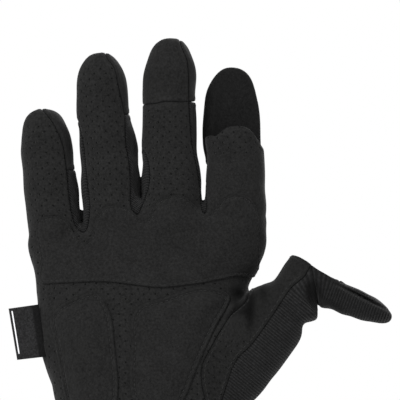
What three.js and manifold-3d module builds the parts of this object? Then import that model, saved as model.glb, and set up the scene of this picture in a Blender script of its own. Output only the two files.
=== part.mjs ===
// Right-hand tactical glove, worn shape, fingers up (+Z), palm towards -Y, thumb towards +X.
// The origin is the centre of the wrist opening. All lengths are in millimetres.
import * as THREE from "three";
import { mergeVertices } from "three/addons/utils/BufferGeometryUtils.js";
import Module from "manifold-3d";

// Driving dimensions
const PALM_LENGTH = 160; // hem to a line just above the finger roots
const PALM_WIDTH = 104; // across the finger roots
const PALM_DEPTH = 38; // through the heel of the hand
const FINGER_REACH = 75; // middle finger, root line to tip
const FINGER_WIDTH = 25; // middle finger at its root
const FINGER_DEPTH = 0.86; // depth of a finger, as a share of its width
const FINGER_CURL = 7; // how far the longest fingertip leans towards the palm side
const THUMB_REACH = 78; // inside the heel of the hand to beyond the thumb's mouth
const THUMB_WIDTH = 32; // at the ball of the thumb
const THUMB_ANGLE = 50.6; // degrees above the +X axis
const THUMB_FORWARD = 15; // how far the thumb stands in front of the palm
const HOOD_ANGLE = -20.5; // the thumb's folded hood, degrees above the +X axis
const THUMB_HOOD_REACH = 34.5;
const THUMB_HOOD_THICK = 15; // across the folded hood, as seen from the palm side
const THUMB_HOOD_DEPTH = 22; // along Y
const INDEX_HOOD_REACH = 43; // seam at the back of the finger to the hood's tip
const INDEX_HOOD_WIDTH = 25;
const INDEX_HOOD_THICK = 9.4;
const WALL = 1.4; // suede, stretch and ribbed fabric
const PATCH = 1.1; // palm overlay
const PAD = 2.9; // padded heel patches, at their middle
const PAD_EDGE = 1.2; // the same patches, at their rim
const PAD_SLOPE = 3; // width of the rim
const HEM_HEIGHT = 13;
const HEM = 1.3;
const LABEL_REACH = 12.8; // how far the tab stands out of the side seam
const LABEL_HEIGHT = 22.8;
const LABEL_THICK = 1.2;
const LABEL_TILT = 9; // degrees
const LABEL_UP = 0.656; // middle of the tab, share of PALM_LENGTH
const LABEL_FORWARD = 0.24; // its seam, in front of the side, share of PALM_DEPTH
const GAP = 0.3; // clearance between two pieces

const FAR = 400; // beyond the glove on every side
const degrees = Math.PI / 180;
const v3 = (x, y, z) => new THREE.Vector3(x, y, z);

// The body of the hand, hem to finger roots. up: share of PALM_LENGTH; centre and half:
// share of PALM_WIDTH; forward and deep (half depth): share of PALM_DEPTH.
const PALM = [
  { up: 0.0, centre: 0.0, half: 0.385, forward: 0.0, deep: 0.66 },
  { up: 0.26, centre: 0.0, half: 0.361, forward: 0.0, deep: 0.6 },
  { up: 0.39, centre: 0.0, half: 0.376, forward: -0.01, deep: 0.56 },
  { up: 0.567, centre: -0.016, half: 0.431, forward: -0.05, deep: 0.51 },
  { up: 0.61, centre: -0.022, half: 0.446, forward: -0.05, deep: 0.5 },
  { up: 0.66, centre: -0.029, half: 0.452, forward: -0.05, deep: 0.49 },
  { up: 0.76, centre: -0.034, half: 0.447, forward: -0.03, deep: 0.45 },
  { up: 0.81, centre: -0.026, half: 0.459, forward: -0.01, deep: 0.42 },
  { up: 0.855, centre: -0.013, half: 0.48, forward: 0.0, deep: 0.38 },
  { up: 0.9, centre: -0.012, half: 0.492, forward: 0.01, deep: 0.33 },
  { up: 0.935, centre: -0.012, half: 0.492, forward: 0.02, deep: 0.29 },
  { up: 0.96, centre: 0.09, half: 0.385, forward: 0.02, deep: 0.275 },
  { up: 1.0, centre: 0.105, half: 0.34, forward: 0.02, deep: 0.2 },
];

// The fingers. root and tip: share of PALM_WIDTH; reach: share of FINGER_REACH; wide: share of
// FINGER_WIDTH; bow: sideways bow of the middle line, share of FINGER_WIDTH; cap: where the
// tip's cap begins, or the index finger's hood, share of this finger's reach.
const FINGERS = {
  little: { root: -0.414, tip: -0.451, reach: 0.584, wide: 0.905, bow: 0.0, cap: 0.38 },
  ring: { root: -0.1645, tip: -0.214, reach: 0.912, wide: 0.975, bow: 0.05, cap: 0.6 },
  middle: { root: 0.0895, tip: 0.087, reach: 1.0, wide: 1.04, bow: 0.0, cap: 0.624 },
  index: { root: 0.361, tip: 0.352, reach: 0.82, wide: 1.03, bow: 0.0, cap: 0.3 },
};

// Half width of a finger along its reach, as a share of half its root width.
const FINGER_PROFILE = [
  { at: -0.42, half: 0.72 },
  { at: -0.15, half: 1.0 },
  { at: 0.04, half: 1.05 },
  { at: 0.18, half: 1.0 },
  { at: 0.45, half: 0.935 },
  { at: 0.74, half: 0.875 },
  { at: 0.86, half: 0.775 },
  { at: 0.94, half: 0.58 },
  { at: 0.985, half: 0.31 },
];

// The thumb. at: share of THUMB_REACH; side: shift across the axis, share of THUMB_WIDTH;
// half: share of THUMB_WIDTH; forward: share of THUMB_FORWARD; deep: half depth over half width.
const THUMB = [
  { at: -0.2, side: 0.0, half: 0.42, forward: 0.15, deep: 0.7 },
  { at: 0.0, side: -0.03, half: 0.51, forward: 0.3, deep: 0.72 },
  { at: 0.2, side: -0.03, half: 0.54, forward: 0.5, deep: 0.76 },
  { at: 0.4, side: -0.012, half: 0.519, forward: 0.75, deep: 0.82 },
  { at: 0.6, side: -0.036, half: 0.48, forward: 0.94, deep: 0.83 },
  { at: 0.66, side: -0.039, half: 0.411, forward: 0.97, deep: 0.9 },
  { at: 0.725, side: 0.048, half: 0.398, forward: 1.0, deep: 0.95 },
  { at: 0.775, side: 0.009, half: 0.353, forward: 1.0, deep: 0.97 },
  { at: 0.9, side: 0.0, half: 0.35, forward: 1.0, deep: 0.97 },
  { at: 1.03, side: 0.0, half: 0.348, forward: 1.0, deep: 0.97 },
];
const THUMB_START = { across: 0.252, up: 0.479 }; // shares of the palm

// Folded hoods, flattened pockets. at: share of the reach; thick and wide: shares of the
// largest half sizes.
const HOOD = [
  { at: -0.22, thick: 1.06, wide: 1.0 },
  { at: 0.28, thick: 0.97, wide: 1.0 },
  { at: 0.52, thick: 0.92, wide: 0.95 },
  { at: 0.72, thick: 0.78, wide: 0.84 },
  { at: 0.87, thick: 0.56, wide: 0.7 },
  { at: 0.96, thick: 0.32, wide: 0.45 },
];

// Outlines seen from the palm side: shares of PALM_WIDTH and PALM_LENGTH.
const OVERLAY_OUTLINE = [
  [-0.481, 0.952], [-0.459, 0.971], [-0.413, 0.976], [-0.357, 0.968], [-0.323, 0.929],
  [-0.285, 0.902], [-0.247, 0.918], [-0.225, 0.971], [-0.196, 0.999], [-0.136, 1.006],
  [-0.077, 0.99], [-0.038, 0.963], [0.0, 0.974], [0.034, 1.018], [0.094, 1.033],
  [0.145, 1.03], [0.191, 1.004], [0.234, 0.979], [0.272, 0.99], [0.315, 1.026],
  [0.374, 1.036], [0.425, 1.024], [0.455, 0.985], [0.462, 0.91], [0.459, 0.838],
  [0.434, 0.808], [0.37, 0.811], [0.285, 0.8], [0.2, 0.79], [0.064, 0.78],
  [-0.034, 0.784], [-0.187, 0.795], [-0.383, 0.791], [-0.459, 0.794], [-0.459, 0.849],
  [-0.474, 0.902],
];
const HYPOTHENAR_OUTLINE = [
  [-0.417, 0.708], [-0.37, 0.725], [-0.306, 0.746], [-0.251, 0.762], [-0.213, 0.765],
  [-0.179, 0.728], [-0.155, 0.689], [-0.149, 0.623], [-0.136, 0.545], [-0.119, 0.468],
  [-0.179, 0.412], [-0.298, 0.418], [-0.357, 0.481], [-0.387, 0.606], [-0.408, 0.661],
];
const THENAR_OUTLINE = [
  [-0.055, 0.719], [-0.017, 0.715], [0.026, 0.728], [0.072, 0.739], [0.123, 0.764],
  [0.183, 0.78], [0.247, 0.786], [0.319, 0.772], [0.34, 0.75], [0.302, 0.703],
  [0.247, 0.639], [0.221, 0.595], [0.187, 0.545], [0.145, 0.468], [0.077, 0.418],
  [-0.017, 0.426], [-0.077, 0.468], [-0.089, 0.556], [-0.081, 0.647], [-0.072, 0.694],
];
// Where the thumb's panels meet the palm, and the seam between the thumb's suede and ribs.
const THUMB_BORDER = [
  [0.56, 0.93], [0.45, 0.803], [0.413, 0.777], [0.37, 0.766], [0.332, 0.728],
  [0.289, 0.675], [0.247, 0.62], [0.213, 0.548], [0.25, 0.44], [0.33, 0.36],
];
const THUMB_SEAM = [
  [0.25, 0.36], [0.349, 0.559], [0.438, 0.631], [0.523, 0.71], [0.596, 0.779],
  [0.655, 0.813], [0.72, 0.86],
];
// Seams of a finger's front panel: at, a share of its reach; left and right, shares of its half
// width.
const FRONT_SEAMS = {
  little: [
    { at: 0.02, left: -1.4, right: 0.75 },
    { at: 0.2, left: -1.4, right: 0.68 },
    { at: 0.5, left: -1.4, right: 0.69 },
    { at: 0.7, left: -1.4, right: 0.68 },
    { at: 0.86, left: -1.2, right: 0.46 },
    { at: 0.945, left: -0.6, right: 0.1 },
  ],
  ring: [
    { at: 0.03, left: -0.66, right: 0.78 },
    { at: 0.25, left: -0.72, right: 0.66 },
    { at: 0.5, left: -0.92, right: 0.64 },
    { at: 0.62, left: -1.4, right: 0.78 },
    { at: 0.8, left: -1.4, right: 0.68 },
    { at: 0.9, left: -1.2, right: 0.6 },
    { at: 0.965, left: -0.5, right: 0.3 },
  ],
  middle: [
    { at: 0.03, left: -0.8, right: 0.95 },
    { at: 0.25, left: -0.72, right: 0.93 },
    { at: 0.45, left: -0.88, right: 0.83 },
    { at: 0.6, left: -1.4, right: 0.8 },
    { at: 0.8, left: -1.4, right: 0.76 },
    { at: 0.9, left: -1.2, right: 0.66 },
    { at: 0.965, left: -0.5, right: 0.4 },
  ],
  index: [
    { at: 0.03, left: -0.95, right: 1.4 },
    { at: 0.3, left: -1.05, right: 1.4 },
    { at: 0.8, left: -1.4, right: 1.4 },
  ],
};
// The lip of the index finger's mouth: across, share of the half width; up, share of the reach.
const INDEX_LIP = [
  { across: -1.3, up: 0.5 },
  { across: -0.95, up: 0.53 },
  { across: -0.55, up: 0.61 },
  { across: -0.1, up: 0.655 },
  { across: 0.35, up: 0.65 },
  { across: 0.7, up: 0.57 },
  { across: 0.95, up: 0.45 },
  { across: 1.3, up: 0.38 },
];
// The thumb's mouth, seen from the palm side, shares of the palm: its rim runs from the lip to
// the hood, and the hood's root lies along the fold.
const THUMB_RIM = [[0.604, 0.874], [0.83, 0.796]];
const THUMB_FOLD = [[0.668, 0.87], [0.742, 0.7]];
const THUMB_HOOD_START = [0.704, 0.777];
// The mouth goes on as a slit in the hood: its depth below the rim's two ends, and its front and
// back edges, shares of THUMB_HOOD_DEPTH from the hood's middle.
const SLIT_DROP = [8, 4];
const SLIT_EDGES = [-0.3, 0.33];

const CROTCH = [0.956, 0.99, 0.995]; // tops of the webs between fingers, shares of PALM_LENGTH
const WEB_DIP = 0.03; // the front's seam runs this far below a web, share of PALM_LENGTH
const FRONT_CORNERS = [[-0.56, 0.9], [0.62, 0.9]]; // beside the outer fingers, shares of the palm
const FRONT_DEPTH = 0.03; // where front panels end at the sides, share of PALM_DEPTH
const SIDE_DEPTH = 0.12; // where the finger sides meet the back, share of PALM_DEPTH
const FINGER_BACK = 0.02; // the fingers' roots behind the middle plane, share of PALM_DEPTH

// The knit strips between fingers.
const STRIP_TOP = 0.56; // highest end beside a cap, share of the finger's reach
const STRIP_FOOT = 0.07; // lower end below the web, share of PALM_LENGTH
const STRIP_SIDE = 1.06; // upper corners, share of the finger's half width

const TIP_SIDE = 1.25; // a cap's zone to each side, share of the finger's half width
const TIP_AIM = 0.9; // the zone's sides lean as the finger does up to here, share of its reach

const THUMB_FOOT = 0.1; // lower edge of the thumb's zone far outside, share of PALM_LENGTH
const SUEDE_TOP = 0.5; // where the thumb's suede ends above its seam, share of PALM_WIDTH
const SUEDE_BACK = 0.25; // and behind the thumb's middle, share of THUMB_WIDTH

const INDEX_SPLIT = 0.6; // Y of the split between the index lip and its hood, behind the middle
const INDEX_HOOD_LEAN = [-0.03, -0.02]; // the hood's lean in X and Y for each step up

const LABEL_BOW = 0.8; // height of the tab's bow, share of LABEL_THICK
const LABEL_WAVE = 3; // radians of the bow's wave over the tab's reach
const LABEL_STEPS = 4; // facets along it
const LABEL_BACK = 1.5; // the tab's rearmost point behind its middle, share of LABEL_THICK

const wasm = await Module();
wasm.setup();

function toSolid(geometry) {
  const bare = new THREE.BufferGeometry();
  const indexed = geometry.index ? geometry.toNonIndexed() : geometry;
  bare.setAttribute("position", indexed.getAttribute("position"));
  const merged = mergeVertices(bare, 1e-4);
  const mesh = new wasm.Mesh({
    numProp: 3,
    vertProperties: new Float32Array(merged.attributes.position.array),
    triVerts: new Uint32Array(merged.index.array),
  });
  return new wasm.Manifold(mesh);
}

function toGeometry(solid) {
  const mesh = solid.getMesh();
  const geometry = new THREE.BufferGeometry();
  geometry.setAttribute("position", new THREE.BufferAttribute(mesh.vertProperties, 3));
  geometry.setIndex(new THREE.BufferAttribute(mesh.triVerts, 1));
  return geometry.toNonIndexed();
}

// A closed skin over rings of points, with a fan at each end.
function skinRings(rings) {
  const sides = rings[0].length;
  const points = rings.flat();
  const faces = [];
  const middle = (ring) => ring.reduce((sum, p) => sum.add(p), v3(0, 0, 0)).divideScalar(sides);
  rings.slice(1).forEach((ring, k) => {
    for (let i = 0; i < sides; i++) {
      const a = k * sides + i;
      const b = k * sides + ((i + 1) % sides);
      faces.push(a, b, b + sides, a, b + sides, a + sides);
    }
  });
  const low = points.push(middle(rings[0])) - 1;
  const high = points.push(middle(rings[rings.length - 1])) - 1;
  const last = (rings.length - 1) * sides;
  for (let i = 0; i < sides; i++) {
    const next = (i + 1) % sides;
    faces.push(low, next, i);
    faces.push(high, last + i, last + next);
  }
  const geometry = new THREE.BufferGeometry();
  geometry.setFromPoints(points);
  geometry.setIndex(faces);
  return toSolid(geometry);
}

// Powers of the superellipse sections; 2 would be a plain ellipse.
const PALM_POWER = 2.5;
const DIGIT_POWER = 2.3;
const HOOD_POWER = 2.2;

// One ring: a superellipse with half sizes a along u and b along v.
function ring(centre, u, v, a, b, sides, power = DIGIT_POWER) {
  return Array.from({ length: sides }, (_, i) => {
    const angle = (2 * Math.PI * i) / sides;
    const bend = (t) => Math.sign(t) * Math.abs(t) ** (2 / power);
    return centre
      .clone()
      .addScaledVector(u, a * bend(Math.cos(angle)))
      .addScaledVector(v, b * bend(Math.sin(angle)));
  });
}

const X = v3(1, 0, 0);
const Y = v3(0, 1, 0);

const PALM_SIDES = 28; // facets round each section
const FINGER_SIDES = 14;
const THUMB_SIDES = 16;
const HOOD_SIDES = 12;

// X of the little finger's side of the palm, at a share of its length and a depth.
function palmSide(up, y) {
  const k = Math.max(1, PALM.findIndex((row) => row.up >= up));
  const [low, high] = [PALM[k - 1], PALM[k]];
  const t = (up - low.up) / (high.up - low.up);
  const at = (column) => THREE.MathUtils.lerp(low[column], high[column], t);
  const away = Math.abs(y - at("forward") * PALM_DEPTH) / (at("deep") * PALM_DEPTH);
  const half = at("half") * (1 - away ** PALM_POWER) ** (1 / PALM_POWER);
  return (at("centre") - half) * PALM_WIDTH;
}

const BELOW_HEM = 1; // the skin runs on this far below the hem, where it is cut off

// The body of the hand, grown outwards by grow.
function palmSolid(grow) {
  const last = PALM.length - 1;
  const rings = PALM.map((row, k) => {
    const end = (k === last ? grow : 0) - (k === 0 ? BELOW_HEM : 0);
    const centre = v3(row.centre * PALM_WIDTH, row.forward * PALM_DEPTH, row.up * PALM_LENGTH + end);
    const half = row.half * PALM_WIDTH + grow;
    const deep = row.deep * PALM_DEPTH + grow;
    return ring(centre, X, Y, half, deep, PALM_SIDES, PALM_POWER);
  });
  return skinRings(rings);
}

// Half width of a finger at a share of its reach.
function profileAt(at) {
  const rows = FINGER_PROFILE;
  const k = Math.max(1, Math.min(rows.length - 1, rows.findIndex((row) => row.at >= at)));
  const t = THREE.MathUtils.clamp((at - rows[k - 1].at) / (rows[k].at - rows[k - 1].at), 0, 1);
  return THREE.MathUtils.lerp(rows[k - 1].half, rows[k].half, t);
}

// Middle line and half width of a finger at a share of its reach.
function fingerAt(name, at) {
  const finger = FINGERS[name];
  const reach = finger.reach * FINGER_REACH;
  const bow = finger.bow * FINGER_WIDTH * Math.sin(Math.PI * THREE.MathUtils.clamp(at, 0, 1));
  const x = THREE.MathUtils.lerp(finger.root, finger.tip, at) * PALM_WIDTH + bow;
  const curl = FINGER_CURL * (reach / FINGER_REACH) * Math.max(at, 0) ** 2;
  return {
    centre: v3(x, FINGER_BACK * PALM_DEPTH - curl, PALM_LENGTH + at * reach),
    half: 0.5 * finger.wide * FINGER_WIDTH * profileAt(at),
  };
}

// Near a fingertip the growth turns upwards, from TIP_START of the reach, and less of it goes
// sideways, from TIP_ROUND.
const TIP_START = 0.85;
const TIP_ROUND = 0.95;
const TIP_SQUEEZE = 0.45; // share of the sideways growth left out
const LEAST_HALF = 0.6;
const TIP_FLAT = { wide: 0.8, deep: 0.7 }; // half sizes of the small flat that closes the tip

// A finger, grown outwards by grow, with its tip closed.
function fingerSolid(name, grow) {
  const rings = FINGER_PROFILE.map((row) => {
    const { centre, half } = fingerAt(name, row.at);
    const rise = (grow * Math.max(row.at - TIP_START, 0)) / (1 - TIP_START);
    const squeeze = row.at > TIP_ROUND ? TIP_SQUEEZE * grow : 0;
    const wide = Math.max(half + grow - squeeze, LEAST_HALF);
    return ring(v3(centre.x, centre.y, centre.z + rise), X, Y, wide, wide * FINGER_DEPTH, FINGER_SIDES);
  });
  const tip = fingerAt(name, 1).centre;
  rings.push(ring(v3(tip.x, tip.y, tip.z + grow), X, Y, TIP_FLAT.wide, TIP_FLAT.deep, FINGER_SIDES));
  return skinRings(rings);
}

const thumbAxis = v3(Math.cos(THUMB_ANGLE * degrees), 0, Math.sin(THUMB_ANGLE * degrees));
const thumbAcross = v3(thumbAxis.z, 0, -thumbAxis.x);

function thumbAt(row) {
  return v3(THUMB_START.across * PALM_WIDTH, -row.forward * THUMB_FORWARD, THUMB_START.up * PALM_LENGTH)
    .addScaledVector(thumbAxis, row.at * THUMB_REACH)
    .addScaledVector(thumbAcross, row.side * THUMB_WIDTH);
}

function thumbSolid(grow) {
  const rings = THUMB.map((row) => {
    const half = row.half * THUMB_WIDTH;
    return ring(thumbAt(row), thumbAcross, Y, half + grow, half * row.deep + grow, THUMB_SIDES);
  });
  return skinRings(rings);
}

// The whole worn skin, grown outwards by grow.
function skin(grow) {
  let all = palmSolid(grow).add(thumbSolid(grow));
  Object.keys(FINGERS).forEach((name) => {
    all = all.add(fingerSolid(name, grow));
  });
  return all;
}

// A prism along Y over an outline in X and Z, between two depths.
function prism(outline, low, high) {
  const shape = new THREE.Shape(outline.map(([x, z]) => new THREE.Vector2(x, z)));
  const body = new THREE.ExtrudeGeometry(shape, { depth: high - low, bevelEnabled: false, steps: 1 });
  body.rotateX(Math.PI / 2);
  body.translate(0, high, 0);
  return toSolid(body);
}

const onPalm = ([across, up]) => [across * PALM_WIDTH, up * PALM_LENGTH];
const onFinger = (name, at, share) => {
  const { centre, half } = fingerAt(name, at);
  return [centre.x + share * half, centre.z];
};

// A closed outline moved outwards by a distance.
function grown(outline, distance) {
  const area = THREE.ShapeUtils.area(outline.map(([x, z]) => ({ x, y: z })));
  const turn = Math.sign(area);
  return outline.map(([x, z], i) => {
    const before = outline[(i + outline.length - 1) % outline.length];
    const after = outline[(i + 1) % outline.length];
    const along = new THREE.Vector2(after[0] - before[0], after[1] - before[1]).normalize();
    return [x + turn * along.y * distance, z - turn * along.x * distance];
  });
}

// The whole front of the glove as one outline: up the outside of the little finger, round each
// finger's front panel and web, and down the outside of the index finger.
function frontOutline() {
  const names = Object.keys(FRONT_SEAMS);
  const [first, last] = FRONT_CORNERS.map(onPalm);
  const outline = [[-FAR, -FAR], first];
  names.forEach((name, k) => {
    const rows = FRONT_SEAMS[name];
    rows.forEach((row) => outline.push(onFinger(name, row.at, row.left)));
    [...rows].reverse().forEach((row) => outline.push(onFinger(name, row.at, row.right)));
    if (k < names.length - 1) {
      const left = onFinger(name, rows[0].at, rows[0].right);
      const next = names[k + 1];
      const right = onFinger(next, FRONT_SEAMS[next][0].at, FRONT_SEAMS[next][0].left);
      outline.push([(left[0] + right[0]) / 2, (CROTCH[k] - WEB_DIP) * PALM_LENGTH]);
    }
  });
  outline.push(last, [FAR, -FAR]);
  return outline;
}

const frontEnd = FRONT_DEPTH * PALM_DEPTH;
const sideEnd = SIDE_DEPTH * PALM_DEPTH;
const below = (z) => prism([[-FAR, -FAR], [FAR, -FAR], [FAR, z], [-FAR, z]], -FAR, FAR);
const above = (z) => prism([[-FAR, z], [FAR, z], [FAR, FAR], [-FAR, FAR]], -FAR, FAR);

const front = (grow) => prism(grown(frontOutline(), grow), -FAR, frontEnd + grow);

// The zone between two neighbouring fingers' middle lines, from the web up to the caps.
function betweenOutline(left, right, crotch) {
  const leftTop = FINGERS[left].cap;
  const rightTop = Math.min(FINGERS[right].cap, STRIP_TOP);
  const floor = (crotch - STRIP_FOOT) * PALM_LENGTH;
  return [
    [onFinger(left, 0, 0)[0], floor],
    [onFinger(right, 0, 0)[0], floor],
    onFinger(right, rightTop, 0),
    onFinger(right, rightTop, -STRIP_SIDE),
    onFinger(left, leftTop, STRIP_SIDE),
    onFinger(left, leftTop, 0),
  ];
}

function between(left, right, crotch, grow) {
  return prism(grown(betweenOutline(left, right, crotch), grow), -FAR, sideEnd + grow);
}

// The zone of a fingertip, above its cap line.
function tipZone(name, grow) {
  const { cap } = FINGERS[name];
  const [, z] = onFinger(name, cap, 0);
  const outline = [
    [onFinger(name, cap, -TIP_SIDE)[0] - grow, z - grow],
    [onFinger(name, cap, TIP_SIDE)[0] + grow, z - grow],
    [onFinger(name, TIP_AIM, TIP_SIDE)[0] + grow, FAR],
    [onFinger(name, TIP_AIM, -TIP_SIDE)[0] - grow, FAR],
  ];
  return prism(outline, -FAR, FAR);
}

function thumbZone(grow) {
  const outline = [...THUMB_BORDER.map(onPalm), [FAR, THUMB_FOOT * PALM_LENGTH], [FAR, FAR]];
  return prism(grown(outline, grow), -FAR, FAR);
}

const PAST = 60; // how far the zones past the thumb's rim and fold reach, more than the thumb does

// Everything past the thumb's rim, or past its fold.
function pastLine([a, b], grow) {
  const start = new THREE.Vector2(...onPalm(a));
  const end = new THREE.Vector2(...onPalm(b));
  const along = end.clone().sub(start).normalize();
  const outwards = new THREE.Vector2(-along.y, along.x);
  const p = start.clone().addScaledVector(outwards, -grow).addScaledVector(along, -PAST);
  const q = end.clone().addScaledVector(outwards, -grow).addScaledVector(along, PAST);
  const r = q.clone().addScaledVector(outwards, PAST);
  const s = p.clone().addScaledVector(outwards, PAST);
  return prism([p, q, r, s].map((corner) => [corner.x, corner.y]), -FAR, FAR);
}

const pastRim = (grow) => pastLine(THUMB_RIM, grow);
const pastFold = (grow) => pastLine(THUMB_FOLD, grow);

const indexSeam = fingerAt("index", FINGERS.index.cap); // where the hood is sewn on behind

// The mouth of the index finger: everything above the lip in front, and above the hood's seam
// behind.
function indexMouth(grow) {
  const lip = INDEX_LIP.map((row) => onFinger("index", row.up, row.across));
  const top = [...lip, [lip[lip.length - 1][0], FAR], [lip[0][0], FAR]];
  const seam = indexSeam.centre.z;
  const [left, right] = [lip[0][0], lip[lip.length - 1][0]];
  const back = [[left, seam], [right, seam], [right, FAR], [left, FAR]];
  const split = indexSeam.centre.y + INDEX_SPLIT;
  return prism(grown(top, grow), -FAR, FAR).add(prism(grown(back, grow), split - grow, FAR));
}

const HOOD_START = 0.9; // from this share of its reach a hood's growth turns lengthwise as well
const HOOD_LEAST = { wide: 0.8, thick: 0.6 }; // smallest half sizes of a section
const HOOD_FLAT = 0.2; // half sizes of the flat that closes it, as shares of the last section's sizes

// A flattened pocket along an axis, grown outwards by grow.
function flatPocket(start, axis, across, reach, thick, wide, grow) {
  const thickness = v3(0, 0, 0).crossVectors(axis, across).normalize();
  const rings = HOOD.map((row) => {
    const longer = row.at > HOOD_START ? grow : 0;
    const centre = start.clone().addScaledVector(axis, row.at * reach + longer);
    const a = Math.max((row.wide * wide) / 2 + grow, HOOD_LEAST.wide);
    const b = Math.max((row.thick * thick) / 2 + grow, HOOD_LEAST.thick);
    return ring(centre, across, thickness, a, b, HOOD_SIDES, HOOD_POWER);
  });
  const last = HOOD[HOOD.length - 1];
  const tip = start.clone().addScaledVector(axis, reach + grow);
  const [a, b] = [HOOD_FLAT * wide * last.wide, HOOD_FLAT * thick * last.thick];
  rings.push(ring(tip, across, thickness, a, b, HOOD_SIDES, HOOD_POWER));
  return skinRings(rings);
}

const hollowPocket = (...shape) => flatPocket(...shape, 0).subtract(flatPocket(...shape, -WALL));

// The part of solid left after taking others away.
const less = (solid, ...others) => others.reduce((left, other) => left.subtract(other), solid);

// Only the largest of a solid's separate bodies: crumbs that a cut leaves are dropped.
function largest(solid) {
  const bodies = solid.decompose().sort((a, b) => b.volume() - a.volume());
  return bodies[0];
}

const outer = skin(0);
const shell = less(outer, skin(-WALL), below(GAP));

// A patch of even thickness on the skin's front, inside an outline.
function patch(outline, low, high) {
  return skin(high).subtract(skin(low)).intersect(prism(outline, -FAR, 0));
}

const overlaySolid = () => patch(OVERLAY_OUTLINE.map(onPalm), GAP, GAP + PATCH);

function padSolid(outline) {
  const rim = outline.map(onPalm);
  const low = patch(rim, GAP, GAP + PAD_EDGE);
  const high = patch(grown(rim, -PAD_SLOPE), GAP, GAP + PAD);
  return low.add(high);
}

const frontSkin = shell.intersect(front(0));
const indexOpen = indexMouth(0);
const thumbPart = shell.intersect(thumbZone(-GAP / 2)).subtract(pastRim(0)).subtract(pastFold(GAP / 2));

// The zone of the thumb's suede side, up to its seam with the ribs.
function suedeZone(grow) {
  const corners = [[SUEDE_TOP * PALM_WIDTH, FAR], [-FAR, FAR], [-FAR, -FAR]];
  const outline = [...THUMB_SEAM.map(onPalm), ...corners];
  return prism(grown(outline, grow), -FAR, -THUMB_FORWARD + SUEDE_BACK * THUMB_WIDTH + grow);
}

const tipNames = ["little", "ring", "middle"];
const pairs = [["little", "ring"], ["ring", "middle"], ["middle", "index"]];
const tips = (grow) => tipNames.map((name) => tipZone(name, grow));
const sides = (grow) => pairs.map(([a, b], k) => between(a, b, CROTCH[k], grow));

function frontCap() {
  return frontSkin.intersect(tipZone("middle", -GAP));
}

function palmPanel() {
  return less(frontSkin, thumbZone(GAP / 2), indexOpen, tipZone("middle", 0));
}

function backCap(name) {
  return shell.intersect(tipZone(name, -GAP)).subtract(front(GAP));
}

function sideStrip([left, right], k) {
  const zone = between(left, right, CROTCH[k], 0);
  return less(shell.intersect(zone), front(GAP), ...tips(0), indexMouth(GAP));
}

function backPanel() {
  return less(shell, front(GAP), ...sides(GAP), ...tips(0), thumbZone(GAP / 2), indexOpen);
}

function indexHood() {
  const { centre, half } = indexSeam;
  const behind = half * FINGER_DEPTH - INDEX_HOOD_THICK / 2;
  const start = v3(centre.x, centre.y + behind, centre.z);
  const axis = v3(...INDEX_HOOD_LEAN, 1).normalize();
  const pocket = hollowPocket(start, axis, X, INDEX_HOOD_REACH, INDEX_HOOD_THICK, INDEX_HOOD_WIDTH);
  return pocket.intersect(above(centre.z + GAP));
}

function thumbHood() {
  const axis = v3(Math.cos(HOOD_ANGLE * degrees), 0, Math.sin(HOOD_ANGLE * degrees));
  const [x, z] = onPalm(THUMB_HOOD_START);
  const start = v3(x, -THUMB_FORWARD, z);
  const pocket = hollowPocket(start, axis, Y, THUMB_HOOD_REACH, THUMB_HOOD_THICK, THUMB_HOOD_DEPTH);
  const kept = pocket.intersect(pastFold(-GAP / 2)).subtract(pastRim(0));
  const feet = THUMB_RIM.map(onPalm).map(([across, up], k) => [across, up - SLIT_DROP[k]]);
  const slit = [...feet, [feet[1][0], FAR], [feet[0][0], FAR]];
  const [low, high] = SLIT_EDGES.map((share) => share * THUMB_HOOD_DEPTH - THUMB_FORWARD);
  return kept.subtract(prism(slit, low, high));
}

function hemSolid() {
  return skin(GAP + HEM).subtract(skin(GAP)).intersect(below(HEM_HEIGHT)).intersect(above(0));
}

// The folded tab in the side seam, at the little finger's side of the heel.
function labelGeometry() {
  const body = new THREE.BoxGeometry(LABEL_REACH, LABEL_THICK, LABEL_HEIGHT, LABEL_STEPS, 1, 1);
  const place = body.getAttribute("position");
  for (let i = 0; i < place.count; i++) {
    const x = place.getX(i) / LABEL_REACH;
    place.setY(i, place.getY(i) + LABEL_BOW * LABEL_THICK * Math.cos(LABEL_WAVE * x));
  }
  return body;
}

const LOOKS = {
  suede: { color: 0x2a2a2b, roughness: 0.95, metalness: 0 },
  knit: { color: 0x1f1f21, roughness: 0.9, metalness: 0 },
  ribbed: { color: 0x222224, roughness: 0.85, metalness: 0 },
  woven: { color: 0x303033, roughness: 0.8, metalness: 0 },
};

const glove = new THREE.Group();

function addMesh(name, geometry, look) {
  geometry.computeVertexNormals();
  const mesh = new THREE.Mesh(geometry, new THREE.MeshStandardMaterial(LOOKS[look]));
  mesh.name = name;
  glove.add(mesh);
  return mesh;
}

const addSolid = (name, solid, look) => addMesh(name, toGeometry(largest(solid)), look);

addSolid("palm_panel", palmPanel(), "suede");
addSolid("palm_overlay", overlaySolid(), "suede");
addSolid("hypothenar_pad", padSolid(HYPOTHENAR_OUTLINE), "suede");
addSolid("thenar_pad", padSolid(THENAR_OUTLINE), "suede");
addSolid("middle_tip_front", frontCap(), "suede");
tipNames.forEach((name) => addSolid(name + "_tip_back", backCap(name), "suede"));
pairs.forEach((pair, k) => addSolid("side_strip_" + pair.join("_"), sideStrip(pair, k), "knit"));
addSolid("back_panel", backPanel(), "ribbed");
addSolid("index_hood", indexHood(), "suede");
addSolid("thumb_palm_panel", thumbPart.intersect(suedeZone(0)), "suede");
addSolid("thumb_back_panel", thumbPart.subtract(suedeZone(GAP)), "ribbed");
addSolid("thumb_hood", thumbHood(), "ribbed");
addSolid("cuff_hem", hemSolid(), "knit");
const label = addMesh("label", labelGeometry(), "woven");
const tilt = LABEL_TILT * degrees;
const foot = LABEL_UP - (LABEL_HEIGHT * Math.cos(tilt)) / 2 / PALM_LENGTH;
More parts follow.
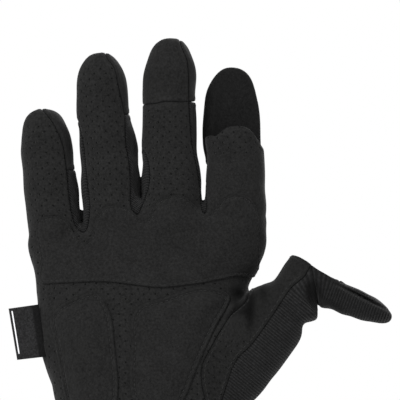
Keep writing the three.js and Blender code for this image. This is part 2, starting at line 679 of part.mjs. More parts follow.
const labelY = -LABEL_FORWARD * PALM_DEPTH;
const footReach = (LABEL_REACH * Math.cos(tilt) + LABEL_HEIGHT * Math.sin(tilt)) / 2;
const seat = palmSide(foot, labelY + LABEL_BACK * LABEL_THICK) - 2 * GAP;
label.position.set(seat - footReach, labelY, LABEL_UP * PALM_LENGTH);
label.rotation.set(0, -tilt, 0);

export default glove;
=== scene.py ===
import bpy
import numpy as np
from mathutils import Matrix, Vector


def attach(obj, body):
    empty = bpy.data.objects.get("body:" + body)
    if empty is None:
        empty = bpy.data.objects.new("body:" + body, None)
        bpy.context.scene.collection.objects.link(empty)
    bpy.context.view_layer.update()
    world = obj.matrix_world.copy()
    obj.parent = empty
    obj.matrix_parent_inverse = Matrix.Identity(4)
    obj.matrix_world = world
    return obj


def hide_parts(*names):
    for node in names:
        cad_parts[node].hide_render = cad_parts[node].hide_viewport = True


# Right-hand tactical glove in suede, ribbed stretch and knit. Shapes are worked out in
# millimetres, in the frame of the CAD model: fingers +Z, palm towards -Y, thumb towards +X.
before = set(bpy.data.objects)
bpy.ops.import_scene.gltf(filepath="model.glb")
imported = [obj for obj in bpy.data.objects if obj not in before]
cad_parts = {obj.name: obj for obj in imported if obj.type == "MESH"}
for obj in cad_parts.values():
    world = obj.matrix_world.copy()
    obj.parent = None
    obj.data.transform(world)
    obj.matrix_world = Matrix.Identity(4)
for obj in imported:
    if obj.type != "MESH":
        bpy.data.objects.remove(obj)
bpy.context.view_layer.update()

MM = 0.001  # metres
CELL = 1.35  # spacing of the skin's first net
WALL = 1.4  # suede, stretch and ribbed fabric
SEAM_GAP = -0.02  # half the space between two panels: they just touch
FAR = 400.0

PALM_LENGTH, PALM_WIDTH, PALM_DEPTH = 160.0, 104.0, 38.0
FINGER_REACH, FINGER_DEPTH, FINGER_CURL = 75.0, 0.86, 7.0
THUMB_REACH, THUMB_WIDTH, THUMB_ANGLE, THUMB_FORWARD = 78.0, 32.0, 50.6, 15.0
HOOD_ANGLE = -20.5

# The hand: share of the length, then centre and half width as shares of the width, then
# forward shift and half depth as shares of the depth.
PALM = np.array([
    (0.0, 0.0, 0.385, 0.0, 0.66), (0.26, 0.0, 0.361, 0.0, 0.6), (0.39, 0.0, 0.376, -0.01, 0.56),
    (0.567, -0.016, 0.431, -0.05, 0.51), (0.61, -0.022, 0.446, -0.05, 0.5),
    (0.66, -0.029, 0.452, -0.05, 0.49), (0.76, -0.034, 0.447, -0.03, 0.45),
    (0.81, -0.026, 0.456, -0.01, 0.42), (0.855, -0.013, 0.474, 0.0, 0.38),
    (0.9, -0.012, 0.484, 0.01, 0.33), (0.935, -0.012, 0.486, 0.02, 0.29),
]) * (PALM_LENGTH, PALM_WIDTH, PALM_WIDTH, PALM_DEPTH, PALM_DEPTH)
# Top of the web between the finger roots: across, height.
WEB_TOP = np.array([(-60.0, 152.5), (-30.0, 152.5), (-21.0, 156.0), (-9.0, 161.5), (60.0, 161.0)])

# Each finger: height, centre and half width; then where its tip's dome begins and how tall it is.
FINGERS = {
    "little": ([(120, -40.5, 8.5), (140, -41.6, 10.8), (154.5, -42.1, 12.0), (161.5, -42.9, 11.9),
                (168.6, -43.6, 11.8), (175.7, -44.5, 11.6), (182.8, -45.2, 11.2), (189.9, -45.9, 10.8),
                (204, -46.9, 10.6)], 189.9, 13.9),
    "ring": ([(120, -17.5, 9.0), (142, -17.6, 11.4), (156, -16.9, 12.9), (163.0, -16.8, 13.2),
              (172, -17.4, 13.1), (179.2, -17.6, 12.9), (186.3, -18.1, 12.6), (193.4, -19.0, 12.2),
              (200.5, -20.4, 11.6), (211, -21.0, 11.2), (228, -21.9, 11.2)], 211.0, 17.4),
    "middle": ([(120, 9.3, 9.0), (142, 9.3, 12.0), (156, 9.4, 13.5), (165, 9.5, 13.7),
                (175.7, 9.4, 13.0), (182.8, 8.9, 12.5), (193.4, 8.9, 12.0), (207.6, 8.7, 11.7),
                (216, 8.8, 11.4), (235, 9.3, 11.4)], 216.0, 19.0),
    "index": ([(120, 36.0, 9.0), (142, 37.0, 12.0), (154, 37.2, 13.5), (161.5, 37.3, 13.6),
               (168.6, 37.6, 13.2), (175.7, 37.8, 13.0), (182.8, 37.8, 12.7), (190, 37.1, 12.8),
               (206, 36.9, 12.4)], 204.0, 17.0),
}
ROOT = 142.0  # below it a finger tapers away inside the palm
REACH_SHARE = {"little": 0.584, "ring": 0.912, "middle": 1.0, "index": 0.82}

# The thumb along its axis: share of reach, side shift and half width as shares of the width,
# forward shift as a share of its stand-off, half depth over half width.
THUMB = np.array([
    (-0.2, 0.0, 0.42, 0.15, 0.7), (0.0, -0.03, 0.51, 0.3, 0.72), (0.2, -0.03, 0.54, 0.5, 0.76),
    (0.4, -0.012, 0.519, 0.75, 0.82), (0.6, -0.036, 0.48, 0.94, 0.83), (0.66, -0.039, 0.411, 0.97, 0.9),
    (0.725, 0.048, 0.398, 1.0, 0.95), (0.775, 0.009, 0.353, 1.0, 0.97), (0.9, 0.0, 0.35, 1.0, 0.97),
    (1.03, 0.0, 0.348, 1.0, 0.97),
]) * (THUMB_REACH, THUMB_WIDTH, THUMB_WIDTH, -THUMB_FORWARD, 1.0)
THUMB_START = np.array([0.252 * PALM_WIDTH, 0.479 * PALM_LENGTH])
# The folded thumb hood along its axis: reach, centre across, half thickness, half width in Y.
THUMB_HOOD = np.array([
    (-8.0, 0.6, 6.8, 11.0), (4.0, 0.6, 6.3, 11.0), (10.0, 0.3, 6.4, 11.0), (15.0, -0.1, 6.55, 10.8),
    (18.8, -0.15, 6.35, 10.6), (23.5, -0.4, 5.95, 10.0), (28.5, -0.4, 5.3, 9.8), (37.0, -0.9, 4.8, 9.6),
])
THUMB_HOOD_ROOT = np.array([73.2, 124.3])
# The index hood: height, centre across, half width, middle in Y, half thickness.
INDEX_HOOD = np.array([
    (170.0, 37.2, 11.8, 5.2, 5.0), (180.0, 37.0, 12.2, 5.3, 5.0), (188.0, 36.4, 12.9, 5.4, 4.9),
    (196.1, 36.0, 13.0, 5.4, 4.7), (204.9, 36.0, 11.9, 5.2, 4.4), (211.1, 35.9, 10.9, 4.9, 4.0),
    (222.0, 36.6, 10.2, 4.4, 3.6),
])

# Outlines seen from the palm side, across and up in millimetres.
FRONT = np.array([
    (-FAR, -FAR), (-FAR, 207.6), (-49.6, 205.8), (-46.0, 201.4), (-42.5, 196.9), (-38.5, 188.1),
    (-36.7, 176.6), (-35.4, 163.3), (-33.2, 152.7), (-29.6, 149.0), (-27.4, 151.8), (-26.5, 160.7),
    (-27.4, 169.5), (-28.3, 178.4), (-29.6, 189.9), (-32.3, 199.2), (-37.2, 201.4), (-37.2, 238.5),
    (-22.1, 238.5), (-19.5, 227.0), (-15.5, 221.3), (-13.7, 212.9), (-11.1, 200.5), (-10.6, 189.0),
    (-8.8, 176.6), (-8.4, 161.5), (-7.1, 158.0), (-5.3, 157.0), (-3.5, 160.7), (-0.9, 167.7),
    (0.0, 174.4), (-0.9, 181.0), (-2.6, 185.0), (-4.8, 186.4), (-4.8, 243.0), (11.5, 243.0),
    (13.7, 231.5), (16.2, 225.7), (17.0, 218.6), (17.3, 204.9), (18.1, 192.1), (19.0, 185.4),
    (21.2, 174.4), (22.6, 161.1), (23.9, 157.4), (25.2, 161.1), (24.3, 176.6), (23.0, 185.4),
    (21.2, 189.4), (21.2, 251.8), (FAR, 251.8), (FAR, -FAR),
])
FRONT_END = 1.1  # Y where the front panels meet the sides
SIDE_END = 4.6  # Y where the finger sides meet the back
TIPS = {
    "little": [(-62.0, 176.6), (-32.2, 176.6), (-32.2, 240.0), (-66.0, 240.0)],
    "ring": [(-35.0, 200.2), (-6.0, 201.6), (-4.0, 250.0), (-37.0, 250.0)],
    "middle": [(-6.2, 205.4), (-3.1, 205.4), (2.7, 205.8), (6.6, 206.7), (13.3, 206.5), (19.9, 206.9),
               (22.3, 207.0), (22.3, 260.0), (-6.2, 260.0)],
}
BETWEEN = {
    "little_ring": [(-42.0, 142.0), (-18.0, 142.0), (-18.6, 198.0), (-33.5, 198.0), (-31.0, 176.6), (-44.7, 176.6)],
    "ring_middle": [(-18.0, 148.0), (9.3, 148.0), (8.6, 202.0), (-4.0, 202.0), (-6.5, 201.0), (-20.4, 201.0)],
    "middle_index": [(9.3, 148.0), (37.0, 148.0), (37.6, 178.5), (23.5, 178.5), (21.0, 206.5), (8.4, 206.5)],
}
THUMB_ZONE = [
    (58.2, 148.8), (46.8, 128.5), (43.9, 123.6), (42.3, 119.0), (39.0, 115.6), (35.6, 112.6),
    (31.8, 107.0), (27.0, 98.6), (22.6, 87.7), (26.0, 70.4), (34.3, 57.6), (FAR, 16.0), (FAR, FAR),
]
THUMB_SUEDE = [
    (20.0, -FAR), (26.0, 57.6), (36.3, 89.4), (45.6, 100.9), (54.4, 113.5), (61.9, 124.6),
    (68.1, 130.1), (71.5, 136.0), (52.0, FAR), (-FAR, FAR), (-FAR, -FAR),
]
SUEDE_END = -7.0  # Y where the thumb's suede meets its ribs
THUMB_RIM = [
    (40.0, 220.0), (40.0, 152.0), (58.0, 141.6), (62.0, 139.6), (65.0, 138.7), (69.0, 136.3),
    (73.0, 133.3), (79.6, 129.6), (83.0, 128.4), (86.3, 127.0), (90.0, 125.6), (92.9, 124.6), (100.0, 121.6),
    (150.0, 100.0), (150.0, 220.0),
]
THUMB_FOLD = [(70.2, 139.2), (74.9, 112.0)]
HOOD_BAND = [(74.0, 121.0), (77.5, 119.6), (82.0, 117.4), (85.4, 115.6), (84.6, 111.0), (78.0, 110.0)]
INDEX_LIP = [
    (22.3, 190.4), (25.2, 191.6), (28.4, 191.4), (30.6, 192.9), (32.6, 194.4),
    (35.0, 195.5), (39.8, 195.8), (43.6, 194.8), (46.0, 192.6), (48.2, 189.4), (51.0, 185.2), (56.0, 180.0),
]
INDEX_BACK = 178.5  # height of the hood's seam at the back of the index finger
INDEX_SPLIT = 0.6  # Y between the lip and the hood

OVERLAY = np.array([
    (-0.481, 0.952), (-0.459, 0.971), (-0.413, 0.976), (-0.357, 0.968), (-0.323, 0.929), (-0.285, 0.902),
    (-0.247, 0.918), (-0.225, 0.971), (-0.196, 0.999), (-0.136, 1.006), (-0.077, 0.99), (-0.038, 0.963),
    (0.0, 0.974), (0.034, 1.018), (0.094, 1.033), (0.145, 1.03), (0.191, 1.004), (0.234, 0.979),
    (0.272, 0.99), (0.315, 1.026), (0.374, 1.036), (0.425, 1.024), (0.455, 0.985), (0.462, 0.91),
    (0.459, 0.838), (0.434, 0.808), (0.37, 0.811), (0.285, 0.8), (0.2, 0.79), (0.064, 0.78),
    (-0.034, 0.784), (-0.187, 0.795), (-0.383, 0.791), (-0.459, 0.794), (-0.459, 0.849), (-0.474, 0.902),
]) * (PALM_WIDTH, PALM_LENGTH)
HYPOTHENAR = np.array([
    (-0.413, 0.703), (-0.383, 0.727), (-0.332, 0.747), (-0.281, 0.762), (-0.243, 0.768), (-0.215, 0.763),
    (-0.191, 0.746), (-0.17, 0.719), (-0.156, 0.683), (-0.149, 0.634), (-0.14, 0.584), (-0.131, 0.52),
    (-0.14, 0.455), (-0.183, 0.417), (-0.245, 0.408), (-0.303, 0.422), (-0.349, 0.468), (-0.375, 0.545),
    (-0.395, 0.615), (-0.413, 0.664), (-0.419, 0.688),
]) * (PALM_WIDTH, PALM_LENGTH)
THENAR = np.array([
    (-0.077, 0.62), (-0.081, 0.661), (-0.075, 0.697), (-0.056, 0.722), (-0.028, 0.735), (0.009, 0.743),
    (0.055, 0.752), (0.106, 0.763), (0.162, 0.776), (0.213, 0.783), (0.264, 0.78), (0.306, 0.771),
    (0.333, 0.758), (0.339, 0.742), (0.321, 0.716), (0.291, 0.686), (0.262, 0.648), (0.23, 0.604),
    (0.196, 0.555), (0.162, 0.497), (0.119, 0.444), (0.064, 0.417), (0.0, 0.417), (-0.051, 0.443),
    (-0.077, 0.492), (-0.083, 0.556),
]) * (PALM_WIDTH, PALM_LENGTH)

# Folds and dents of the worn skin: across, up, length, width, turn in degrees, height (minus is
# a dent), and how strongly the back of the hand takes part.
RELIEF = np.array([
    (39.8, 120.4, 4.6, 2.8, 126.0, -1.3, 0.0),  # deep fold in the web of the thumb
    (38.2, 114.9, 6.0, 1.5, 42.0, -1.3, 0.0),
    (41.8, 114.5, 6.5, 2.0, 72.0, 0.5, 0.0),
    (44.6, 113.5, 6.5, 1.6, 84.0, -1.4, 0.0),
    (49.0, 116.0, 8.0, 3.6, 66.0, 1.0, 0.0),
    (49.9, 122.4, 3.4, 1.8, 100.0, -1.2, 0.0),
    (52.0, 125.2, 4.0, 2.0, 0.0, 0.7, 0.5),
    (72.5, 121.4, 5.2, 2.3, 105.0, -2.7, 0.0),  # hollow where the thumb's tube folds
    (69.6, 112.4, 3.8, 2.8, 30.0, 1.5, 0.0),
    (66.2, 121.0, 5.5, 2.2, 108.0, 0.9, 0.0),
    (77.6, 119.5, 6.0, 2.0, 75.0, 0.7, 0.0),
    (93.4, 120.5, 10.0, 0.7, -26.8, -1.9, 0.0),  # seam along the hood
    (3.5, 148.0, 14.0, 2.6, 8.0, -0.35, 0.0),  # creases where the palm bends
    (-25.0, 143.0, 12.0, 2.2, -12.0, -0.3, 0.0),
    (24.0, 137.0, 16.0, 3.0, -20.0, -0.4, 0.0),
    (-12.0, 132.0, 18.0, 3.2, 6.0, 0.35, 0.0),
])
# Painted shade in places with no dent of their own, each: across, up, length, width, turn, depth of shade in mm.
SHADED = np.array([
    (81.8, 115.0, 5.5, 2.2, -35.0, 1.7),  # lower edge of the thumb's hood
    (72.6, 119.4, 4.4, 1.7, 110.0, 1.6),  # inside the fold above it
    (40.6, 117.6, 3.6, 2.2, 110.0, 1.6),  # web of the thumb
])
# Soft waves over the whole skin: wave length, direction in degrees, height, phase.
WAVES = [(31.0, 20.0, 0.28, 0.3), (19.0, 100.0, 0.2, 1.7), (13.0, 63.0, 0.13, 4.0), (9.0, 150.0, 0.07, 2.2)]


def spline(t, at, values):
    """Smooth curve through a table: cubic Hermite pieces whose slope at each row is the slope
    of the parabola through it and its neighbours; held level beyond both ends."""
    slopes = np.gradient(values, at)
    t = np.clip(t, at[0], at[-1])
    k = np.clip(np.searchsorted(at, t, side="right") - 1, 0, len(at) - 2)
    wide = at[k + 1] - at[k]
    s = (t - at[k]) / wide
    low = (1 + 2 * s) * (1 - s) ** 2 * values[k] + s * (1 - s) ** 2 * wide * slopes[k]
    high = s * s * (3 - 2 * s) * values[k + 1] - s * s * (1 - s) * wide * slopes[k + 1]
    return low + high


def smoothstep(t):
    """Rises from 0 to 1 as t does, level at both ends: 3 t squared less 2 t cubed."""
    t = np.clip(t, 0.0, 1.0)
    return t * t * (3 - 2 * t)


def tube(u, v, a, b, power, past=0.0, tall=1.0):
    """Distance, near enough, to a superellipse tube with half sizes a and b, minus inside.
    rho is (|u/a|^p + |v/b|^p + past^p)^(1/p), where past is how far into the end's dome the
    point is, and the distance is the point's length times (1 - 1/rho)."""
    rho = (np.abs(u / a) ** power + np.abs(v / b) ** power + np.abs(past) ** power) ** (1 / power)
    length = np.sqrt(u * u + v * v + (past * tall) ** 2)
    return length - length / np.maximum(rho, 1e-6)


def blended(a, b, reach):
    """Smooth union: the lesser of two distances, rounded where they differ by under reach."""
    h = np.clip(0.5 + 0.5 * (b - a) / reach, 0.0, 1.0)
    return b + (a - b) * h - reach * h * (1 - h)


def hand(p):
    """The palm: superellipse sections up the hand, closed above by a dome under the webs."""
    x, y, z = p.T
    _, centre, half, forward, deep = [spline(z, PALM[:, 0], PALM[:, k]) for k in range(5)]
    top = np.interp(x, WEB_TOP[:, 0], WEB_TOP[:, 1])
    tall = 10.0
    past = np.maximum(z - (top - tall), 0) / tall
    return tube(x - centre, y - forward, half, deep, 2.5, past, tall)


def finger_middle(name, z):
    """Centre across, centre in Y and half width of a finger at each height. It leans towards
    the palm side by the square of the share of its reach."""
    rows = np.array(FINGERS[name][0], float)
    reach = REACH_SHARE[name] * FINGER_REACH
    at = np.maximum((z - PALM_LENGTH) / reach, 0)
    lean = 0.02 * PALM_DEPTH - FINGER_CURL * REACH_SHARE[name] * at**2
    return spline(z, rows[:, 0], rows[:, 1]), lean, spline(z, rows[:, 0], rows[:, 2])


def finger(p, name):
    """One finger: superellipse sections, a tall dome at the tip, tapered away below the root."""
    x, y, z = p.T
    centre, lean, half = finger_middle(name, z)
    _, dome, tall = FINGERS[name]
    past = np.maximum(z - dome, 0) / tall + np.maximum(ROOT - z, 0) / 16.0
    return tube(x - centre, y - lean, half, FINGER_DEPTH * half, 2.2, past, tall)


def turned(p, start, degrees):
    """Distance along and across an axis in the picture plane."""
    a = np.radians(degrees)
    dx, dz = p[:, 0] - start[0], p[:, 2] - start[1]
    return dx * np.cos(a) + dz * np.sin(a), dx * np.sin(a) - dz * np.cos(a)


def thumb(p):
    """The thumb: superellipse sections along its axis."""
    along, across = turned(p, THUMB_START, THUMB_ANGLE)
    _, side, half, forward, deep = [spline(along, THUMB[:, 0], THUMB[:, k]) for k in range(5)]
    past = np.maximum(-8.0 - along, 0) / 14.0 + np.maximum(along - 74.0, 0) / 8.0
    return tube(across - side, p[:, 1] - forward, half, half * deep, 2.3, past, 10.0)


def thumb_hood(p):
    """The thumb's hood, folded outwards: flat sections along its own axis and a round end."""
    along, across = turned(p, THUMB_HOOD_ROOT, HOOD_ANGLE)
    _, middle, thick, wide = [spline(along, THUMB_HOOD[:, 0], THUMB_HOOD[:, k]) for k in range(4)]
    past = np.maximum(along - 24.0, 0) / 11.3 + np.maximum(-5.0 - along, 0) / 6.0
    return tube(-across - middle, p[:, 1] + THUMB_FORWARD, thick, wide, 2.2, past, 12.0)


def relief(p):
    """Height of the folds and waves over the plain skin: a sum of long round bumps, each
    exp(-(along/length)^2 - (across/width)^2), and of slow sine waves."""
    x, y, z = p.T
    total = np.zeros(len(p))
    front = smoothstep((2.0 - y) / 8.0)
    for across, up, length, wide, turn, height, back in RELIEF:
        s, t = turned(p, (across, up), turn)
        bump = height * np.exp(-((s / length) ** 2) - (t / wide) ** 2)
        total += bump * (front + back * (1 - front))
    for length, turn, height, phase in WAVES:
        a = np.radians(turn)
        total += height * np.sin(2 * np.pi * (x * np.cos(a) + z * np.sin(a) + 0.7 * y) / length + phase)
    return total


def folded(p):
    """Painted shade in the folds, 0 to 1: how deep in a fold a point lies, from the dents of the
    relief and the shaded places, each spread a little wider, over 1.6 mm, and fading towards the back."""
    total = np.zeros(len(p))
    dents = np.column_stack([RELIEF[:, :5], -RELIEF[:, 5]])
    for across, up, length, wide, turn, depth in np.concatenate([dents, SHADED]):
        s, t = turned(p, (across, up), turn)
        total += max(depth, 0.0) * np.exp(-0.6 * ((s / length) ** 2 + (t / wide) ** 2))
    return np.clip(total / 1.6, 0, 1) * smoothstep((8.0 - p[:, 1]) / 8.0)


def skin(p):
    """Distance to the worn skin of the whole glove, minus inside: fingers, palm, thumb and the
    folded thumb hood, each joined smoothly to the next, less the relief."""
    fingers = finger(p, "little")
    for name in ("ring", "middle", "index"):
        fingers = blended(fingers, finger(p, name), 0.8)
    body = blended(hand(p), fingers, 6.0)
    digit = blended(thumb(p), thumb_hood(p), 4.5)
    return blended(body, digit, 7.0) - relief(p)


def index_hood(p):
    """The index finger's hood, standing behind the mouth: a flat pocket with a round top. Its
    front keeps the finger's hollow, a superellipse, beside a fold that runs up its left wall."""
    x, y, z = p.T
    _, centre, half, middle, thick = [spline(z, INDEX_HOOD[:, 0], INDEX_HOOD[:, k]) for k in range(5)]
    past = np.maximum(z - 208.5, 0) / 13.4
    front = smoothstep((5.0 - y) / 3.0)
    ridge = 1.1 * np.exp(-(((x - 27.9) / 1.0) ** 2)) * front * smoothstep((215.0 - z) / 5.0)
    rho = (np.abs((x - 38.3) / 9.6) ** 3 + np.maximum((z - 188.0) / 30.0, 0) ** 3) ** (1 / 3)
    hollow = 1.8 * smoothstep((1.1 - rho) / 0.3) * front
    crease = 0.25 * np.sin(z / 4.1 + 0.3 * x) * smoothstep((z - 180.0) / 8.0)
    return tube(x - centre, y - middle, half, thick, 2.3, past, 13.0) - ridge - crease + hollow


def slope_of(field, p, step=0.05):
    """Value and slope of a field, from four samples at the corners of a small tetrahedron."""
    corners = np.array([(1, -1, -1), (-1, -1, 1), (-1, 1, -1), (1, 1, 1)], float)
    values = [field(p + step * corner) for corner in corners]
    slope = sum(value[:, None] * corner for value, corner in zip(values, corners)) / (4 * step)
    return sum(values) / 4, slope


def settled(field, p, steps=3, most=0.8):
    """Points moved onto a field's zero surface by Newton steps along its slope."""
    for _ in range(steps):
        value, slope = slope_of(field, p)
        move = slope * (value / np.maximum((slope**2).sum(1), 0.1))[:, None]
        length = np.linalg.norm(move, axis=1, keepdims=True)
        p = p - move * np.minimum(1.0, most / np.maximum(length, 1e-9))
    return p


def net(field, low, high, cell):
    """Triangles over the zero surface of a field. On a cubic grid, each cell that the surface
    crosses gets one vertex, the mean of the crossings on its edges, and each crossed grid edge
    gets a quad of the four cells round it."""
    axes = [np.arange(a, b + cell, cell) for a, b in zip(low, high)]
    shape = tuple(map(len, axes))
    grid = np.stack(np.meshgrid(*axes, indexing="ij"), -1).reshape(-1, 3)
    value = np.concatenate([field(part) for part in np.array_split(grid, 30)]).reshape(shape)
    cells = tuple(n - 1 for n in shape)
    total, count, crossings = np.zeros(cells + (3,)), np.zeros(cells), []
    for a in range(3):
        b, c = [k for k in range(3) if k != a]
        first, second = [slice(None)] * 3, [slice(None)] * 3
        first[a], second[a] = slice(0, -1), slice(1, None)
        v0, v1 = value[tuple(first)], value[tuple(second)]
        crossed = (v0 < 0) != (v1 < 0)
        share = np.where(crossed, v0 / np.where(v0 == v1, 1.0, v0 - v1), 0.0)
        index = np.indices(crossed.shape)
        point = np.stack([axes[k][index[k]] + (share * cell if k == a else 0.0) for k in range(3)], -1)
        point *= crossed[..., None]
        for db in (0, 1):
            for dc in (0, 1):
                part = [slice(None)] * 3
                part[b], part[c] = slice(db, db + cells[b]), slice(dc, dc + cells[c])
                total += point[tuple(part)]
                count += crossed[tuple(part)]
        inner = [slice(None)] * 3
        inner[b], inner[c] = slice(1, -1), slice(1, -1)
        crossings.append((a, b, c, crossed[tuple(inner)], v0[tuple(inner)] < 0))
    used = count > 0
    number = np.full(cells, -1)
    number[used] = np.arange(used.sum())
    points = total[used] / count[used][:, None]
    faces = []
    for a, b, c, crossed, rising in crossings:
        at = list(np.nonzero(crossed))
        up = rising[crossed]
        ring = []
        for db, dc in ((0, 0), (1, 0), (1, 1), (0, 1)):
            where = list(at)
            where[b], where[c] = at[b] + db, at[c] + dc
            ring.append(number[tuple(where)])
        quad = np.stack(ring, 1)
        flip = up == (a == 1)
        quad[flip] = quad[flip][:, ::-1]
        faces += [quad[:, [0, 1, 2]], quad[:, [0, 2, 3]]]
    return points, np.concatenate(faces)


def relaxed(field, p, faces, rounds=3):
    """Each vertex moved half way to the mean of its neighbours, then back onto the surface."""
    a = np.concatenate([faces[:, 0], faces[:, 1], faces[:, 2]])
    b = np.concatenate([faces[:, 1], faces[:, 2], faces[:, 0]])
    number = np.maximum(np.bincount(a, minlength=len(p)), 1)
    for _ in range(rounds):
        mean = np.stack([np.bincount(a, p[b, k], len(p)) for k in range(3)], 1) / number[:, None]
        p = settled(field, 0.5 * (p + mean), 1)
    return p


def edge_numbers(faces, count):
    """Each triangle's three edges as numbers in one list of distinct edges."""
    ends = np.sort(np.stack([faces, np.roll(faces, -1, 1)], -1).reshape(-1, 2), 1)
    keys, inverse = np.unique(ends[:, 0] * count + ends[:, 1], return_inverse=True)
    return np.stack([keys // count, keys % count], 1), inverse.reshape(-1, 3)


def refined(field, p, faces, wanted):
    """Edges that wanted picks are split at their middles, which are set onto the surface, and
    each triangle is divided to match: in two, three or four by its number of split edges."""
    ends, of_face = edge_numbers(faces, len(p))
    marked = wanted(p[ends[:, 0]], p[ends[:, 1]])
    middle = np.full(len(ends), -1)
    middle[marked] = len(p) + np.arange(marked.sum())
    p = np.concatenate([p, settled(field, 0.5 * (p[ends[marked, 0]] + p[ends[marked, 1]]), 2)])
    m = middle[of_face]
    out = [faces[(m < 0).all(1)]]
    for turn in range(3):
        f, g = np.roll(faces, -turn, 1), np.roll(m, -turn, 1)
        one = (g[:, 0] >= 0) & (g[:, 1] < 0) & (g[:, 2] < 0)
        a, b, c, ab = f[one, 0], f[one, 1], f[one, 2], g[one, 0]
        out += [np.stack([a, ab, c], 1), np.stack([ab, b, c], 1)]
        two = (g[:, 0] >= 0) & (g[:, 1] >= 0) & (g[:, 2] < 0)
        a, b, c, ab, bc = f[two, 0], f[two, 1], f[two, 2], g[two, 0], g[two, 1]
        out += [np.stack(t, 1) for t in ((ab, b, bc), (a, ab, bc), (a, bc, c))]
    every = (m >= 0).all(1)
    a, b, c = faces[every].T
    ab, bc, ca = m[every].T
    out += [np.stack(t, 1) for t in ((a, ab, ca), (ab, b, bc), (bc, c, ca), (ab, bc, ca))]
    return p, np.concatenate(out)


def cut(p, faces, s):
    """The side of a surface where s is positive. A crossed triangle is cut along the line
    where s, taken as straight along each edge, is zero."""
    s = np.where(np.abs(s) < 1e-3, 1e-3, s)
    inside = s > 0
    number = inside[faces].sum(1)
    out, sides = [faces[number == 3]], []
    for turn in range(3):
        f = np.roll(faces, -turn, 1)
        alone = (number == 1) & inside[f[:, 0]]
        sides.append(("alone", f[alone]))
        missing = (number == 2) & ~inside[f[:, 0]]
        sides.append(("missing", f[missing]))
    pairs = np.concatenate([np.concatenate([f[:, [0, 1]], f[:, [0, 2]]]) for _, f in sides])
    keys = np.sort(pairs, 1)
    keys = keys[:, 0] * len(p) + keys[:, 1]
    distinct, inverse = np.unique(keys, return_inverse=True)
    a, b = distinct // len(p), distinct % len(p)
    share = (s[a] / (s[a] - s[b]))[:, None]
    points = np.concatenate([p, p[a] + (p[b] - p[a]) * share])
    used = 0
    for kind, f in sides:
        n = len(f)
        ab, ac = len(p) + inverse[used : used + n], len(p) + inverse[used + n : used + 2 * n]
        used += 2 * n
        if kind == "alone":
            out.append(np.stack([f[:, 0], ab, ac], 1))
        else:
            out += [np.stack([ab, f[:, 1], f[:, 2]], 1), np.stack([ab, f[:, 2], ac], 1)]
    return tidy(points, np.concatenate(out))


def tidy(p, faces, share=0.12):
    """A surface without its crumbs, the connected parts under a share of the largest one, and
    without unused points."""
    faces = faces[(faces[:, 0] != faces[:, 1]) & (faces[:, 1] != faces[:, 2]) & (faces[:, 2] != faces[:, 0])]
    label = np.arange(len(p))
    for _ in range(200):
        least = label[faces].min(1)
        before = label.copy()
        for k in range(3):
            np.minimum.at(label, faces[:, k], least)
        label = label[label]
        if (label == before).all():
            break
    group = label[faces[:, 0]]
    size = np.bincount(group)
    faces = faces[size[group] > share * size.max()]
    used, inverse = np.unique(faces, return_inverse=True)
    return p[used], inverse.reshape(-1, 3)


def border(faces, count):
    """Directed edges with a triangle on one side only."""
    ends = np.stack([faces, np.roll(faces, -1, 1)], -1).reshape(-1, 2)
    keys = np.sort(ends, 1)
    _, first, number = np.unique(keys[:, 0] * count + keys[:, 1], return_index=True, return_counts=True)
    return ends[first[number == 1]]


def loops(edges):
    """Border edges as closed chains of vertex numbers."""
    follow = dict(edges.tolist())
    chains = []
    while follow:
        start, after = follow.popitem()
        chain = [start]
        while after in follow:
            chain.append(after)
            after = follow.pop(after)
        chains.append(np.array(chain))
    return chains


def seam_distance(p, chains, near):
    """How far each point is from the nearest border vertex, up to near, from all pairs."""
    rim = p[np.concatenate(chains)]
    least = np.full(len(p), near)
    for k in range(0, len(p), 3000):
        part = p[k : k + 3000]
        square = (part**2).sum(1)[:, None] + (rim**2).sum(1) - 2 * part @ rim.T
        least[k : k + 3000] = np.sqrt(np.maximum(square.min(1), 0))
    return np.minimum(least, near)


def outline_distance(p, outline):
    """Signed distance to a closed outline in the picture plane, plus inside: the least distance
    to its edges, with the sign by counting the edges to the right of the point."""
    x, z = p[:, 0], p[:, 2]
    outline = np.asarray(outline, float)
    least, inside = np.full(len(p), np.inf), np.zeros(len(p), bool)
    for (ax, az), (bx, bz) in zip(outline, np.roll(outline, -1, 0)):
        ex, ez = bx - ax, bz - az
        t = np.clip(((x - ax) * ex + (z - az) * ez) / (ex * ex + ez * ez), 0, 1)
        least = np.minimum(least, (x - ax - t * ex) ** 2 + (z - az - t * ez) ** 2)
        slant = ex * (z - az) / (ez if ez else 1e-9) + ax
        inside ^= ((az > z) != (bz > z)) & (x < slant)
    return np.where(inside, 1.0, -1.0) * np.sqrt(least)


def rounded(outline, parts=5):
    """A closed outline through its points with soft corners, by a Catmull-Rom curve, but
    straight next to its far corners."""
    p = np.asarray(outline, float)
    before, after, last = np.roll(p, 1, 0), np.roll(p, -1, 0), np.roll(p, -2, 0)
    soft = (np.abs(np.stack([before, p, after, last])) < 240).all((0, 2))
    t = (np.arange(parts) / parts)[None, :, None]
    a, b, c, d = before[:, None], p[:, None], after[:, None], last[:, None]
    curve = b + 0.5 * t * (c - a) + t**2 * (a - 2.5 * b + 2 * c - 0.5 * d) + t**3 * 0.5 * (3 * (b - c) + d - a)
    return np.concatenate([row if bent else row[:1] for row, bent in zip(curve, soft)])


OVERLAY_LINE = rounded(OVERLAY)
HYPOTHENAR_LINE = rounded(HYPOTHENAR)
THENAR_LINE = rounded(THENAR)
FRONT_LINE = rounded(FRONT, 3)
SUEDE_LINE = rounded(THUMB_SUEDE, 4)
THUMB_LINE = rounded(THUMB_ZONE, 4)
RIM_LINE = rounded(THUMB_RIM, 4)
LIP_LINE = rounded(INDEX_LIP + [(56.0, FAR), (22.3, FAR)], 4)


# Zones: each gives a number that is positive inside and near the distance to the zone's edge.
def above_wrist(p):
    return p[:, 2] - 0.4


def in_front(p):
    return np.minimum(outline_distance(p, FRONT_LINE), FRONT_END - p[:, 1])


